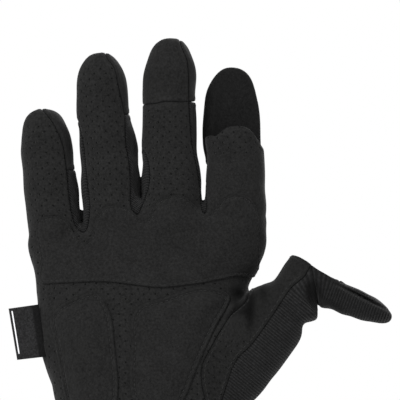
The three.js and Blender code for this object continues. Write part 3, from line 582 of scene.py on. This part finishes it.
def at_tip(name):
    return lambda p: outline_distance(p, TIPS[name])


def between(name):
    return lambda p: np.minimum(outline_distance(p, BETWEEN[name]), SIDE_END - p[:, 1])


def in_thumb(p):
    return outline_distance(p, THUMB_LINE)


def past_rim(p):
    """Above the thumb's rim, and the slit of the mouth in the top of the folded hood."""
    above = outline_distance(p, RIM_LINE)
    slit = np.minimum(6.0 - np.abs(p[:, 1] + THUMB_FORWARD), above + 2.5)
    return np.maximum(above, np.minimum(slit, 9.0 - np.abs(p[:, 0] - 75.0)))


def past_fold(p):
    (ax, az), (bx, bz) = THUMB_FOLD
    length = np.hypot(bx - ax, bz - az)
    return ((p[:, 0] - ax) * (az - bz) + (p[:, 2] - az) * (bx - ax)) / length


def in_thumb_suede(p):
    return np.minimum(outline_distance(p, SUEDE_LINE), SUEDE_END - p[:, 1])


def in_index_mouth(p):
    """Above the index finger's lip, and at the back above the hood's seam."""
    top = outline_distance(p, LIP_LINE)
    width = np.minimum(p[:, 0] - 22.3, 56.0 - p[:, 0])
    back = np.minimum(np.minimum(p[:, 2] - INDEX_BACK, p[:, 1] - INDEX_SPLIT), width)
    return np.maximum(top, back)


def zone(*parts, without=()):
    """The least of the parts' numbers and of the others' taken negative, less the seam gap."""

    def value(p):
        inside = [part(p) for part in parts]
        outside = [-part(p) for part in without]
        return np.minimum.reduce(inside + outside) - SEAM_GAP

    return value


# Profiles: height of a panel's outer face over the skin, by the distance from its seam.
def rolled(d, deep=0.75, wide=0.55):
    """A panel's edge that turns down into the seam along a quarter ellipse, then a low swell."""
    t = np.clip(d / wide, 0, 1)
    return -deep * (1 - np.sqrt(1 - (1 - t) ** 2)) + 0.16 * np.exp(-(((d - 1.5) / 0.8) ** 2))


def groove(d, at, deep, wide=0.45):
    """A sewn line: a round groove along the edge."""
    return -deep * np.exp(-(((d - at) / wide) ** 2))


def rise(d, wide):
    """A quarter ellipse from 0 at the edge to 1."""
    return np.sqrt(1 - (1 - np.clip(d / wide, 0, 1)) ** 2)


def patch_top(d):
    return 0.2 + 0.7 * rise(d, 0.6) + groove(d, 1.3, 0.35) + 0.2 * smoothstep((d - 1.6) / 4)


def pad_top(d):
    return 0.2 + 0.8 * rise(d, 0.7) + groove(d, 1.9, 0.6, 0.6) + 1.9 * smoothstep((d - 2.0) / 8.0)


def rib_distance(p, past):
    """Distance along the thumb for the ribs: along its axis up to the fold's pivot, then round
    the pivot as an arc, then along the hood's axis."""
    pivot = (74.5, 112.5)
    before, _ = turned(p, pivot, THUMB_ANGLE)
    after, _ = turned(p, pivot, HOOD_ANGLE)
    angle = np.degrees(np.arctan2(p[:, 2] - pivot[1], p[:, 0] - pivot[0]))
    arc = 10.0
    swept = np.radians(THUMB_ANGLE + 90.0 - angle)
    bend = np.radians(THUMB_ANGLE - HOOD_ANGLE)
    on_arc = (angle < THUMB_ANGLE + 90.0) & (angle > HOOD_ANGLE + 90.0)
    straight = arc * bend + after if past else before
    return np.where(on_arc, arc * np.clip(swept, 0, bend), straight)


def hood_trim(p):
    """Where the thumb's hood has no ribs: 1 above the seam along it, and in a short band where
    its lower edge meets the fold."""
    above = smoothstep((turned(p, (93.7, 120.4), -26.8)[1] + 0.2) / -0.6) * smoothstep((p[:, 0] - 84.0) / 2.0)
    band = smoothstep(outline_distance(p, HOOD_BAND) / 0.8 + 0.5)
    return np.clip(above + band, 0, 1)


def hole_place(p):
    """Where a point lies in the pattern of holes: the distance round the nearest finger from
    its middle line, and the height. Below the fingers it is the distance across."""
    x, z = p[:, 0], p[:, 2]
    best, around = np.full(len(p), np.inf), x.copy()
    for name in FINGERS:
        centre, _, half = finger_middle(name, z)
        off = x - centre
        near = (np.abs(off) < best) & (z > 150.0)
        best = np.where(near, np.abs(off), best)
        around = np.where(near, half * np.arcsin(np.clip(off / half, -1, 1)), around)
    return around, z


def hole_zone(p):
    """1 where the suede is punched, 0 elsewhere."""
    x, y, z = p.T
    fingers = smoothstep((z - 152.0) / 1.0) * smoothstep((196.5 - z) / 1.0) * (x < -30)
    fingers += smoothstep((z - 158.0) / 1.0) * smoothstep((222.0 - z) / 1.0) * ((x > -32) & (x < -6))
    fingers += smoothstep((z - 160.0) / 1.0) * smoothstep((204.0 - z) / 1.0) * ((x > -6) & (x < 22))
    fingers += smoothstep((z - 183.0) / 1.0) * (x > 23)
    palm = smoothstep((150.0 - z) / 1.0) * smoothstep((z - 60.0) / 1.0) * (x < np.minimum(0.4 * z - 10.0, 32.0))
    palm *= (x > -30.0) | (z > 118.0)
    palm += smoothstep((104.0 - z) / 2.0) * smoothstep((46.0 - x) / 2.0)
    return np.clip(fingers + palm, 0, 1) * (y < 3.0)


def add_mesh(name, p, faces, values=None, uv=None, sharp=55.0):
    """A Blender object from points in millimetres, with one number attribute for each entry of
    values, smooth faces and creases over the sharp angle."""
    mesh = bpy.data.meshes.new(name)
    mesh.vertices.add(len(p))
    mesh.vertices.foreach_set("co", (np.asarray(p) * MM).astype(np.float32).ravel())
    faces = np.asarray(faces)
    size = faces.shape[1]
    mesh.loops.add(faces.size)
    mesh.loops.foreach_set("vertex_index", faces.astype(np.int32).ravel())
    mesh.polygons.add(len(faces))
    mesh.polygons.foreach_set("loop_start", (np.arange(len(faces)) * size).astype(np.int32))
    mesh.polygons.foreach_set("loop_total", np.full(len(faces), size, np.int32))
    mesh.update(calc_edges=True)
    for label, numbers in (values or {}).items():
        layer = mesh.attributes.new(label, "FLOAT", "POINT")
        layer.data.foreach_set("value", np.asarray(numbers, np.float32))
    mesh.shade_smooth()
    mesh.set_sharp_from_angle(angle=np.radians(sharp))
    piece = bpy.data.objects.new(name, mesh)
    bpy.context.collection.objects.link(piece)
    return piece


def near_border(value, reach, longest):
    """Picks the edges longer than longest whose middle is within reach of a zone's border."""

    def wanted(a, b):
        length = np.linalg.norm(a - b, axis=1)
        long = length > longest
        pick = np.zeros(len(a), bool)
        pick[long] = np.abs(value(0.5 * (a + b)[long])) < reach + 0.5 * length[long]
        return pick

    return wanted


def panel(name, field, base, value, top, low, near=2.4, fine=0.5, values=None, all_over=None):
    """One closed piece of cloth. The part of the base surface where value is positive is cut
    out with fine triangles along its border, and the outer and inner faces stand over it at
    top and low, which are functions of the distance from the border."""
    p, faces = base
    s = value(p)
    kept = (s[faces] > -3.0).any(1)
    p, faces = tidy(p, faces[kept])
    if all_over:
        p, faces = refined(field, p, faces, lambda a, b: np.linalg.norm(a - b, axis=1) > all_over)
    p, faces = refined(field, p, faces, near_border(value, near, 1.3 * fine))
    p, faces = refined(field, p, faces, near_border(value, 0.6 * near, 1.3 * fine))
    p, faces = refined(field, p, faces, near_border(value, 0.6, fine))
    p, faces = cut(p, faces, value(p))
    edges = border(faces, len(p))
    chains = [chain for chain in loops(edges) if len(chain) > 6]
    d = seam_distance(p, chains, 14.0)
    _, slope = slope_of(field, p)
    n = slope / np.linalg.norm(slope, axis=1, keepdims=True)
    count = len(p)
    points = np.concatenate([p + n * top(d)[:, None], p + n * low(d)[:, None]])
    a, b = edges.T
    rim = np.concatenate([np.stack([b, a, a + count], 1), np.stack([b, a + count, b + count], 1)])
    whole = np.concatenate([faces, faces[:, ::-1] + count, rim])
    around, up = hole_place(p)
    # fold carries the painted shade of folds and hollows, which the cloth finishes read.
    numbers = {"seam": d, "hole_across": around, "hole_up": up, "hole_zone": hole_zone(p), "fold": folded(p)}
    numbers.update({key: f(p) for key, f in (values or {}).items()})
    numbers = {key: np.concatenate([v, v]) for key, v in numbers.items()}
    numbers["outside"] = np.concatenate([np.ones(count), np.zeros(count)])
    piece = add_mesh(name, points, whole, numbers)
    return piece, (p, chains)


def flat(height):
    return lambda d: np.full(len(d), height)


# Materials -----------------------------------------------------------------------------------
def group(name, inputs, outputs):
    """An empty node group with named number inputs and outputs."""
    tree = bpy.data.node_groups.new(name, "ShaderNodeTree")
    for label, value in inputs.items():
        socket = tree.interface.new_socket(label, in_out="INPUT", socket_type="NodeSocketFloat")
        socket.default_value = value
    for label in outputs:
        tree.interface.new_socket(label, in_out="OUTPUT", socket_type="NodeSocketFloat")
    return tree, tree.nodes.new("NodeGroupInput").outputs, tree.nodes.new("NodeGroupOutput").inputs


def node(tree, kind, inputs=None, **settings):
    """One shader node; inputs are numbers, colours or other nodes' outputs."""
    made = tree.nodes.new(kind)
    for label, value in settings.items():
        setattr(made, label, value)
    for label, value in (inputs or {}).items():
        if isinstance(value, bpy.types.NodeSocket):
            tree.links.new(value, made.inputs[label])
        else:
            made.inputs[label].default_value = value
    return made


def calc(tree, operation, *values, clamp=False):
    """One Math node's result."""
    made = node(tree, "ShaderNodeMath", dict(enumerate(values)), operation=operation, use_clamp=clamp)
    return made.outputs[0]


def ramp(tree, value, low, high, from_low=0.0, from_high=1.0):
    """A number carried from one range to another, smooth at both ends."""
    made = node(tree, "ShaderNodeMapRange", {0: value, 1: from_low, 2: from_high, 3: low, 4: high})
    made.interpolation_type = "SMOOTHSTEP"
    return made.outputs[0]


def read(tree, name):
    return node(tree, "ShaderNodeAttribute", attribute_name=name).outputs["Fac"]


def noise(tree, scale, detail=2.0, rough=0.5, vector=None):
    place = vector or node(tree, "ShaderNodeTexCoord").outputs["Object"]
    made = node(tree, "ShaderNodeTexNoise", {"Vector": place, "Scale": scale, "Detail": detail, "Roughness": rough})
    return made.outputs[0]


def nap_group():
    """Short suede fibres: a fine grain, a mottle of brushed patches, and stray pale lint."""
    tree, given, out = group("suede_nap", {"Grain": 1900.0, "Patches": 120.0, "Contrast": 0.3},
                             ("Shade", "Height", "Lint"))
    fine = noise(tree, given["Grain"], 3.0, 0.65)
    broad = noise(tree, given["Patches"], 3.0, 0.55)
    both = calc(tree, "ADD", calc(tree, "MULTIPLY", fine, 0.82), calc(tree, "MULTIPLY", broad, 0.18))
    shade = calc(tree, "MULTIPLY_ADD", calc(tree, "SUBTRACT", both, 0.5), given["Contrast"], 1.0)
    tree.links.new(shade, out["Shade"])
    tree.links.new(both, out["Height"])
    place = node(tree, "ShaderNodeTexCoord").outputs["Object"]
    cells = node(tree, "ShaderNodeTexVoronoi", {"Vector": place, "Scale": 620.0})
    speck = ramp(tree, cells.outputs["Distance"], 1.0, 0.0, 0.08, 0.2)
    few = ramp(tree, noise(tree, 310.0, 1.0), 0.0, 1.0, 0.58, 0.66)
    tree.links.new(calc(tree, "MULTIPLY", speck, few), out["Lint"])
    return tree


def holes_group():
    """Punched holes in rows set half way between each other, a little uneven. Each of two grids
    gives the distance to its nearest hole, and the lesser one is turned into a round mask."""
    tree, given, out = group("punched_holes", {"Across": 5.2, "Up": 4.6, "Radius": 0.42, "Soft": 0.16, "Drift": 1.6},
                             ("Hole", "Height"))
    drift = calc(tree, "MULTIPLY", calc(tree, "SUBTRACT", noise(tree, 90.0, 0.0), 0.5), given["Drift"])
    u = calc(tree, "ADD", read(tree, "hole_across"), drift)
    v = calc(tree, "SUBTRACT", read(tree, "hole_up"), drift)
    least = None
    for shift in (0.0, 0.5):
        parts = []
        for value, pitch in ((u, given["Across"]), (v, given["Up"])):
            cell = calc(tree, "ADD", calc(tree, "DIVIDE", value, pitch), shift)
            off = calc(tree, "SUBTRACT", calc(tree, "FRACT", calc(tree, "ADD", cell, 100.0)), 0.5)
            parts.append(calc(tree, "POWER", calc(tree, "MULTIPLY", off, pitch), 2.0))
        far = calc(tree, "SQRT", calc(tree, "ADD", *parts))
        least = far if least is None else calc(tree, "MINIMUM", least, far)
    edge = calc(tree, "ADD", given["Radius"], given["Soft"])
    mask = ramp(tree, least, 1.0, 0.0, calc(tree, "SUBTRACT", given["Radius"], given["Soft"]), edge)
    mask = calc(tree, "MULTIPLY", mask, read(tree, "hole_zone"))
    tree.links.new(mask, out["Hole"])
    tree.links.new(calc(tree, "MULTIPLY", mask, -1.0), out["Height"])
    return tree


def edge_group():
    """What a seam does to cloth: painted shade down in the seam, and worn a little paler on its brow."""
    tree, given, out = group("seam_edge", {"Depth": 0.7, "Brow": 1.5}, ("SeamShade", "Worn"))
    d = read(tree, "seam")
    tree.links.new(ramp(tree, d, 1.0, 0.0, 0.0, given["Depth"]), out["SeamShade"])
    off = calc(tree, "ABSOLUTE", calc(tree, "SUBTRACT", d, given["Brow"]))
    brow = ramp(tree, off, 1.0, 0.0, 0.0, 0.9)
    tree.links.new(calc(tree, "MULTIPLY", brow, noise(tree, 260.0, 2.0)), out["Worn"])
    return tree


def rib_group():
    """Ribs of a given pitch across the number attribute rib, each a rounded ridge, with a
    finer knit along them."""
    tree, given, out = group("rib_lines", {"Pitch": 1.2}, ("Ridge",))
    turns = calc(tree, "DIVIDE", read(tree, "rib"), given["Pitch"])
    wave = calc(tree, "SINE", calc(tree, "MULTIPLY", turns, 2 * np.pi))
    ridge = calc(tree, "MULTIPLY_ADD", wave, 0.5, 0.5)
    fine = noise(tree, 1500.0, 1.0)
    tree.links.new(calc(tree, "ADD", calc(tree, "MULTIPLY", ridge, 0.85), calc(tree, "MULTIPLY", fine, 0.15)), out["Ridge"])
    return tree


def knit_group():
    """Slanted loops: two crossed sine waves, one steep and one flat, on object coordinates."""
    tree, given, out = group("slanted_knit", {"Pitch": 1.15, "Slant": 0.6}, ("Loop",))
    split = node(tree, "ShaderNodeSeparateXYZ", {0: node(tree, "ShaderNodeTexCoord").outputs["Object"]}).outputs
    side = calc(tree, "MULTIPLY", calc(tree, "ADD", split["X"], split["Y"]), given["Slant"])
    turns = calc(tree, "DIVIDE", calc(tree, "MULTIPLY", calc(tree, "ADD", split["Z"], side), 1000.0), given["Pitch"])
    rows = calc(tree, "SINE", calc(tree, "MULTIPLY", turns, 2 * np.pi))
    cross = calc(tree, "DIVIDE", calc(tree, "MULTIPLY", calc(tree, "SUBTRACT", split["X"], split["Y"]), 1000.0),
                 calc(tree, "MULTIPLY", given["Pitch"], 0.9))
    columns = calc(tree, "SINE", calc(tree, "MULTIPLY", cross, 2 * np.pi))
    both = calc(tree, "ADD", calc(tree, "MULTIPLY", rows, 0.35), calc(tree, "MULTIPLY", columns, 0.15))
    tree.links.new(calc(tree, "ADD", both, 0.5), out["Loop"])
    return tree


NAP, HOLES, EDGE, RIBS, KNIT = nap_group(), holes_group(), edge_group(), rib_group(), knit_group()


def place_group(tree, shared, **inputs):
    made = node(tree, "ShaderNodeGroup", node_tree=shared)
    for label, value in inputs.items():
        made.inputs[label].default_value = value
    return made.outputs


def scaled(tree, colour, factor):
    """A colour times a number that varies over the surface."""
    made = node(tree, "ShaderNodeVectorMath", {0: colour, "Scale": factor}, operation="SCALE")
    return made.outputs[0]


def cloth(name, colour, kind, rough=0.95, sheen=0.03, holes=False, bump=0.9, grain=1000.0, contrast=2.8):
    """A cloth finish: colour times grain, weave with painted light and shade on it, painted shade in seams and folds,
    wear and lint, with a matching bump.
    """
    made = bpy.data.materials.new(name)
    made.use_nodes = True
    tree = made.node_tree
    tree.nodes.clear()
    nap = place_group(tree, NAP, Grain=grain, Contrast=contrast)
    edge = place_group(tree, EDGE)
    shade, height = nap["Shade"], calc(tree, "MULTIPLY", nap["Height"], 0.6)
    if kind == "ribbed":
        smooth = calc(tree, "MAXIMUM", read(tree, "plain"), calc(tree, "MULTIPLY", read(tree, "fold"), 0.8))
        ribs = calc(tree, "SUBTRACT", 1.0, smooth)
        ridge = calc(tree, "MULTIPLY", place_group(tree, RIBS)["Ridge"], ribs)
        ridge = calc(tree, "MULTIPLY_ADD", smooth, 0.5, ridge)
        # Painted light on the rib crests and painted shade in the valleys between them.
        shade = calc(tree, "MULTIPLY", shade, ramp(tree, ridge, 0.5, 1.3))
        height = calc(tree, "ADD", calc(tree, "MULTIPLY", height, 0.3), calc(tree, "MULTIPLY", ridge, 1.6))
    if kind == "tab":
        reach, row = read(tree, "reach"), read(tree, "row")
        shade = calc(tree, "MULTIPLY", shade, ramp(tree, noise(tree, 1400.0, 2.0), 0.6, 1.4, 0.3, 0.7))
        shade = calc(tree, "MULTIPLY", shade, ramp(tree, reach, 1.0, 0.2, 0.72, 0.8))
        off = calc(tree, "ABSOLUTE", calc(tree, "SUBTRACT", reach, 0.1))
        ends = calc(tree, "ABSOLUTE", calc(tree, "SUBTRACT", row, 0.47))
        line = calc(tree, "MULTIPLY", ramp(tree, off, 1.0, 0.0, 0.014, 0.026), ramp(tree, ends, 1.0, 0.0, 0.41, 0.42))
        shade = calc(tree, "MULTIPLY_ADD", line, 62.0, shade)
    if kind == "knit":
        loop = place_group(tree, KNIT)["Loop"]
        # Painted shade between the knit's loops and painted light on their tops.
        shade = calc(tree, "MULTIPLY", shade, ramp(tree, loop, 0.1, 1.7))
        height = calc(tree, "ADD", calc(tree, "MULTIPLY", height, 0.4), loop)
    if holes:
        hole = place_group(tree, HOLES)
        shade = calc(tree, "MULTIPLY", shade, ramp(tree, hole["Hole"], 1.0, 0.25))
        height = calc(tree, "ADD", height, calc(tree, "MULTIPLY", hole["Height"], 2.5))
    # Painted shade down in the seams: the colour falls to 0.55 of itself at the seam.
    shade = calc(tree, "MULTIPLY", shade, ramp(tree, edge["SeamShade"], 1.0, 0.55))
    # Painted shade in folds and hollows: the colour falls to 0.18 of itself where the fold mask is full.
    shade = calc(tree, "MULTIPLY", shade, ramp(tree, read(tree, "fold"), 1.0, 0.18))
    shade = calc(tree, "ADD", shade, calc(tree, "MULTIPLY", edge["Worn"], 0.3))
    shade = calc(tree, "ADD", shade, calc(tree, "MULTIPLY", nap["Lint"], 0.8))
    lit = scaled(tree, colour, shade)
    bumped = node(tree, "ShaderNodeBump", {"Strength": bump, "Distance": 0.00035, "Height": height})
    shader = node(tree, "ShaderNodeBsdfPrincipled", {
        "Base Color": lit, "Roughness": rough, "Normal": bumped.outputs[0], "Sheen Weight": sheen,
        "Sheen Roughness": 0.5, "Specular IOR Level": 0.06,
    })
    tree.links.new(shader.outputs[0], node(tree, "ShaderNodeOutputMaterial").inputs[0])
    return made


SUEDE = cloth("black_suede", (0.0069, 0.0069, 0.0068), "suede")
PUNCHED = cloth("punched_suede", (0.0070, 0.0070, 0.0069), "suede", holes=True)
THUMB_PUNCHED = cloth("thumb_suede", (0.0056, 0.0056, 0.0055), "suede", holes=True)
# A darker copy of the suede: painted shade on the index hood behind the finger's mouth.
SHADED_HOOD_SUEDE = cloth("hood_suede_painted_shade", (0.0042, 0.0042, 0.0042), "suede")
RIBBED = cloth("ribbed_stretch", (0.0076, 0.0076, 0.0077), "ribbed", bump=1.0)
# A darker copy of the ribbed stretch: painted shade on the thumb's folded hood.
SHADED_HOOD_RIBBED = cloth("hood_ribbed_painted_shade", (0.0062, 0.0062, 0.0063), "ribbed", bump=1.0)
KNITTED = cloth("slanted_knit", (0.0058, 0.0058, 0.0059), "knit", bump=1.0)
STRETCH = cloth("back_stretch", (0.0080, 0.0080, 0.0081), "knit", bump=0.5)
THREAD = cloth("sewing_thread", (0.0095, 0.0095, 0.0094), "suede", rough=0.6, grain=4000.0)
WOVEN = cloth("woven_tab", (0.0080, 0.0080, 0.0082), "tab", rough=0.7)


def dress(piece, material, slot, *nodes):
    """Gives a piece its finish, its body and the CAD nodes it stands for. The slot argument is not used."""
    piece.data.materials.append(material)
    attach(piece, "root")
    if nodes:
        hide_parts(*nodes)
    return piece


# The worn skin and its panels ----------------------------------------------------------------
points, triangles = net(skin, (-62.0, -36.0, -4.0), (114.0, 32.0, 240.0), CELL)
points = relaxed(skin, settled(skin, points, 4), triangles)
BASE = (points, triangles)

tips = [at_tip(name) for name in TIPS]
strips = [between(name) for name in BETWEEN]
mouths = (in_index_mouth,)
wall = flat(-WALL)

palm_zone = zone(above_wrist, in_front, without=(in_thumb, in_index_mouth, at_tip("middle")))
palm_piece, palm_rim = panel("palm_suede", skin, BASE, palm_zone, rolled, wall)
dress(palm_piece, PUNCHED, "suede", "palm_panel")

cap, _ = panel("middle_tip_front_suede", skin, BASE, zone(in_front, at_tip("middle")), rolled, wall)
dress(cap, SUEDE, "suede", "middle_tip_front")
for name in TIPS:
    piece, _ = panel(name + "_tip_back_suede", skin, BASE, zone(at_tip(name), without=(in_front,)), rolled, wall)
    dress(piece, SUEDE, "suede", name + "_tip_back")
for name in BETWEEN:
    value = zone(between(name), without=[in_front, in_index_mouth, *tips])
    piece, _ = panel(name + "_strip", skin, BASE, value, rolled, wall)
    dress(piece, KNITTED, "knit", "side_strip_" + name)
back_zone = zone(above_wrist, without=[in_front, in_thumb, in_index_mouth, *tips, *strips])
piece, _ = panel("back_stretch", skin, BASE, back_zone, rolled, wall)
dress(piece, STRETCH, "stretch", "back_panel")

thumb_suede_zone = zone(above_wrist, in_thumb, in_thumb_suede, without=(past_rim, past_fold))
piece, thumb_rim = panel("thumb_suede", skin, BASE, thumb_suede_zone, rolled, wall)
dress(piece, THUMB_PUNCHED, "suede", "thumb_palm_panel")
rib_zone = zone(above_wrist, in_thumb, without=(past_rim, past_fold, in_thumb_suede))
piece, _ = panel("thumb_ribbed", skin, BASE, rib_zone, rolled, wall,
                 values={"rib": lambda p: rib_distance(p, False)})
dress(piece, RIBBED, "ribbed", "thumb_back_panel")
hood_zone = zone(in_thumb, past_fold, without=(past_rim,))
piece, _ = panel("thumb_hood_ribbed", skin, BASE, hood_zone, rolled, wall,
                 values={"rib": lambda p: rib_distance(p, True), "plain": hood_trim}, all_over=0.7)
dress(piece, SHADED_HOOD_RIBBED, "ribbed", "thumb_hood")

# Patches on the palm
def on_front(line):
    return lambda p: np.minimum(outline_distance(p, line), 6.0 - p[:, 1])


overlay, overlay_rim = panel("palm_overlay_suede", skin, BASE, zone(on_front(OVERLAY_LINE)), patch_top, flat(0.12), near=3.0)
dress(overlay, SUEDE, "suede", "palm_overlay")
pad_rims = {}
for name, line in (("hypothenar", HYPOTHENAR_LINE), ("thenar", THENAR_LINE)):
    pad, pad_rims[name] = panel(name + "_pad_suede", skin, BASE, zone(on_front(line)), pad_top, flat(0.12), near=4.0)
    dress(pad, SUEDE, "suede", name + "_pad")


def stitches(name, rim, inset, pitch, height, keep=None):
    """A row of stitches along a panel's edge. The border is walked at an even pitch; each
    stitch lies inset from it, along the skin's normal crossed with the border's direction, and
    is a capsule: rings whose radius is a half circle's over a straight middle."""
    p, chains = rim
    chain = p[max(chains, key=len)]
    steps = np.linalg.norm(np.roll(chain, -1, 0) - chain, axis=1)
    at = np.concatenate([[0], np.cumsum(steps)])
    whole = np.vstack([chain, chain[:1]])
    walk = np.arange(0, at[-1], pitch)

    def on_border(t):
        return np.stack([np.interp(t % at[-1], at, whole[:, k]) for k in range(3)], 1)

    middle = (on_border(walk - 0.8) + on_border(walk) + on_border(walk + 0.8)) / 3
    along = on_border(walk + 1.6) - on_border(walk - 1.6)
    along /= np.linalg.norm(along, axis=1, keepdims=True)
    _, slope = slope_of(skin, middle)
    normal = slope / np.linalg.norm(slope, axis=1, keepdims=True)
    middle = settled(skin, middle + inset * np.cross(normal, along), 2)
    if keep is not None:
        chosen = keep(middle)
        middle, along = middle[chosen], along[chosen]
    _, slope = slope_of(skin, middle)
    normal = slope / np.linalg.norm(slope, axis=1, keepdims=True)
    across = np.cross(normal, along)
    across /= np.linalg.norm(across, axis=1, keepdims=True)
    run = np.array([-0.78, -0.66, -0.4, 0.4, 0.66, 0.78])
    radius = np.array([0.02, 0.2, 0.27, 0.27, 0.2, 0.02])
    sink = -0.12 * (run / 0.78) ** 2
    turn = 2 * np.pi * np.arange(6) / 6
    ring = np.stack([np.cos(turn), np.sin(turn)], 1)
    local = radius[:, None, None] * ring[None]
    place = (middle + normal * height)[:, None, None, :]
    points = place + run[None, :, None, None] * along[:, None, None, :]
    points = points + local[None, ..., :1] * across[:, None, None, :]
    points = points + (local[None, ..., 1:] + sink[None, :, None, None]) * normal[:, None, None, :]
    number = np.arange(36).reshape(6, 6)
    after = np.roll(number, -1, 1)
    quads = np.stack([number[:-1], after[:-1], after[1:], number[1:]], -1).reshape(-1, 4)
    caps = [number[0][[3, 2, 1, 0]], number[0][[5, 4, 3, 0]], number[-1][[0, 1, 2, 3]], number[-1][[0, 3, 4, 5]]]
    quads = np.concatenate([quads, np.array(caps)])
    faces = (quads[None] + 36 * np.arange(len(middle))[:, None, None]).reshape(-1, 4)
    count = 36 * len(middle)
    piece = add_mesh(name, points.reshape(-1, 3), faces, {"seam": np.full(count, 9.0)}, sharp=80.0)
    return dress(piece, THREAD, "suede")


stitches("overlay_stitches", overlay_rim, 1.3, 2.3, 0.62)
for name, rim in pad_rims.items():
    stitches(name + "_pad_stitches", rim, 1.9, 2.3, 0.62)
stitches("thumb_stitches", thumb_rim, 1.5, 2.3, 0.12, lambda p: past_fold(p) < -6.0)

# Cuff
cuff_zone = zone(lambda p: p[:, 2] - 0.1, lambda p: 13.0 - p[:, 2])
cuff, _ = panel("cuff_hem_knit", skin, BASE, cuff_zone, lambda d: 0.35 + 1.25 * rise(d, 1.0), flat(0.3))
dress(cuff, KNITTED, "knit", "cuff_hem")

# The index hood
hood_base = net(index_hood, (18.0, -6.0, 166.0), (56.0, 18.0, 226.0), 1.1)
hood_base = (relaxed(index_hood, settled(index_hood, hood_base[0], 4), hood_base[1]), hood_base[1])
hood_above = zone(lambda p: p[:, 2] - INDEX_BACK - 0.4)
piece, _ = panel("index_hood_suede", index_hood, hood_base, hood_above, rolled, flat(-1.3))
dress(piece, SHADED_HOOD_SUEDE, "suede", "index_hood")


def tab():
    """The folded tab: a long loop profile, flat at the seam and round at its outer edge, swept
    up the height, with a slight bow, as a closed tube with capped ends."""
    corners = np.array([(-62.3, 115.4), (-49.0, 117.3), (-45.6, 94.3), (-58.5, 92.8)])
    rows, steps = np.linspace(0, 1, 25), 48
    angle = 2 * np.pi * np.arange(steps) / steps
    reach = np.sign(np.cos(angle)) * np.abs(np.cos(angle)) ** 0.35 * 0.5 + 0.5
    thick = 0.6 * np.sign(np.sin(angle)) * np.abs(np.sin(angle)) ** 0.5
    outer = corners[0] + rows[:, None] * (corners[3] - corners[0])
    inner = corners[1] + rows[:, None] * (corners[2] - corners[1])
    flatxz = outer[:, None] + reach[None, :, None] * (inner - outer)[:, None]
    bow = 0.5 * np.cos(3 * reach)[None, :] + 0.25 * np.sin(5 * rows)[:, None]
    grid = np.stack([flatxz[..., 0], -9.3 + bow + thick[None, :], flatxz[..., 1]], -1)
    number = np.arange(grid.shape[0] * steps).reshape(grid.shape[0], steps)
    after = np.roll(number, -1, 1)
    quads = np.stack([number[:-1], number[1:], after[1:], after[:-1]], -1).reshape(-1, 4)
    tris = np.concatenate([quads[:, [0, 1, 2]], quads[:, [0, 2, 3]]])
    points = np.concatenate([grid.reshape(-1, 3), grid[0].mean(0)[None], grid[-1].mean(0)[None]])
    first, last = len(points) - 2, len(points) - 1
    ends = [np.stack([np.full(steps, first), number[0], after[0]], 1),
            np.stack([np.full(steps, last), after[-1], number[-1]], 1)]
    numbers = {"reach": np.append(np.tile(reach, len(rows)), [0.5, 0.5]),
               "row": np.append(np.repeat(rows, steps), [0.0, 1.0]), "seam": np.full(len(points), 9.0)}
    return points, np.concatenate([tris, *ends]), numbers


tab_points, tab_faces, tab_numbers = tab()
piece = add_mesh("woven_side_tab", tab_points, tab_faces, tab_numbers, sharp=60.0)
dress(piece, WOVEN, "woven_tab", "label")

# Floor, backdrop, light and camera -----------------------------------------------------------
def plain(name, colour):
    made = bpy.data.materials.new(name)
    made.use_nodes = True
    shader = made.node_tree.nodes["Principled BSDF"]
    shader.inputs["Base Color"].default_value = (*colour, 1.0)
    shader.inputs["Roughness"].default_value = 0.9
    return made


floor_corners = [(-2500.0, -2500.0, -260.0), (2500.0, -2500.0, -260.0), (2500.0, 2500.0, -260.0), (-2500.0, 2500.0, -260.0)]
floor = add_mesh("floor", np.array(floor_corners), np.array([[0, 1, 2, 3]]))
floor.data.materials.append(plain("pale_floor", (0.85, 0.85, 0.85)))

world = bpy.data.worlds.new("studio")
world.use_nodes = True
world.node_tree.nodes["Background"].inputs[0].default_value = (1.0, 1.0, 1.0, 1.0)
world.node_tree.nodes["Background"].inputs[1].default_value = 1.0
bpy.context.scene.world = world
bpy.context.scene.view_settings.view_transform = "Standard"


def lamp(name, place, aim, size, power):
    light = bpy.data.lights.new(name, "AREA")
    light.shape, light.size, light.size_y, light.energy = "RECTANGLE", size, size, power
    made = bpy.data.objects.new(name, light)
    made.location = place
    made.rotation_euler = (Vector(aim) - Vector(place)).to_track_quat("-Z", "Y").to_euler()
    bpy.context.collection.objects.link(made)


lamp("key_softbox", (-0.9, -1.3, 1.5), (0.02, 0.0, 0.13), 0.7, 60.0)
lamp("fill_softbox", (1.5, -0.9, 0.4), (0.02, 0.0, 0.13), 0.9, 6.0)
lamp("back_softbox", (0.9, 1.6, 1.2), (0.02, 0.0, 0.13), 0.9, 40.0)

camera = bpy.data.objects.new("camera", bpy.data.cameras.new("camera"))
camera.data.sensor_width, camera.data.lens = 36.0, 508.5
camera.data.clip_end = 20.0
camera.location = (0.02212, -2.5, 0.1633)
camera.rotation_euler = (np.pi / 2, 0.0, 0.0)
bpy.context.collection.objects.link(camera)
bpy.context.scene.camera = camera
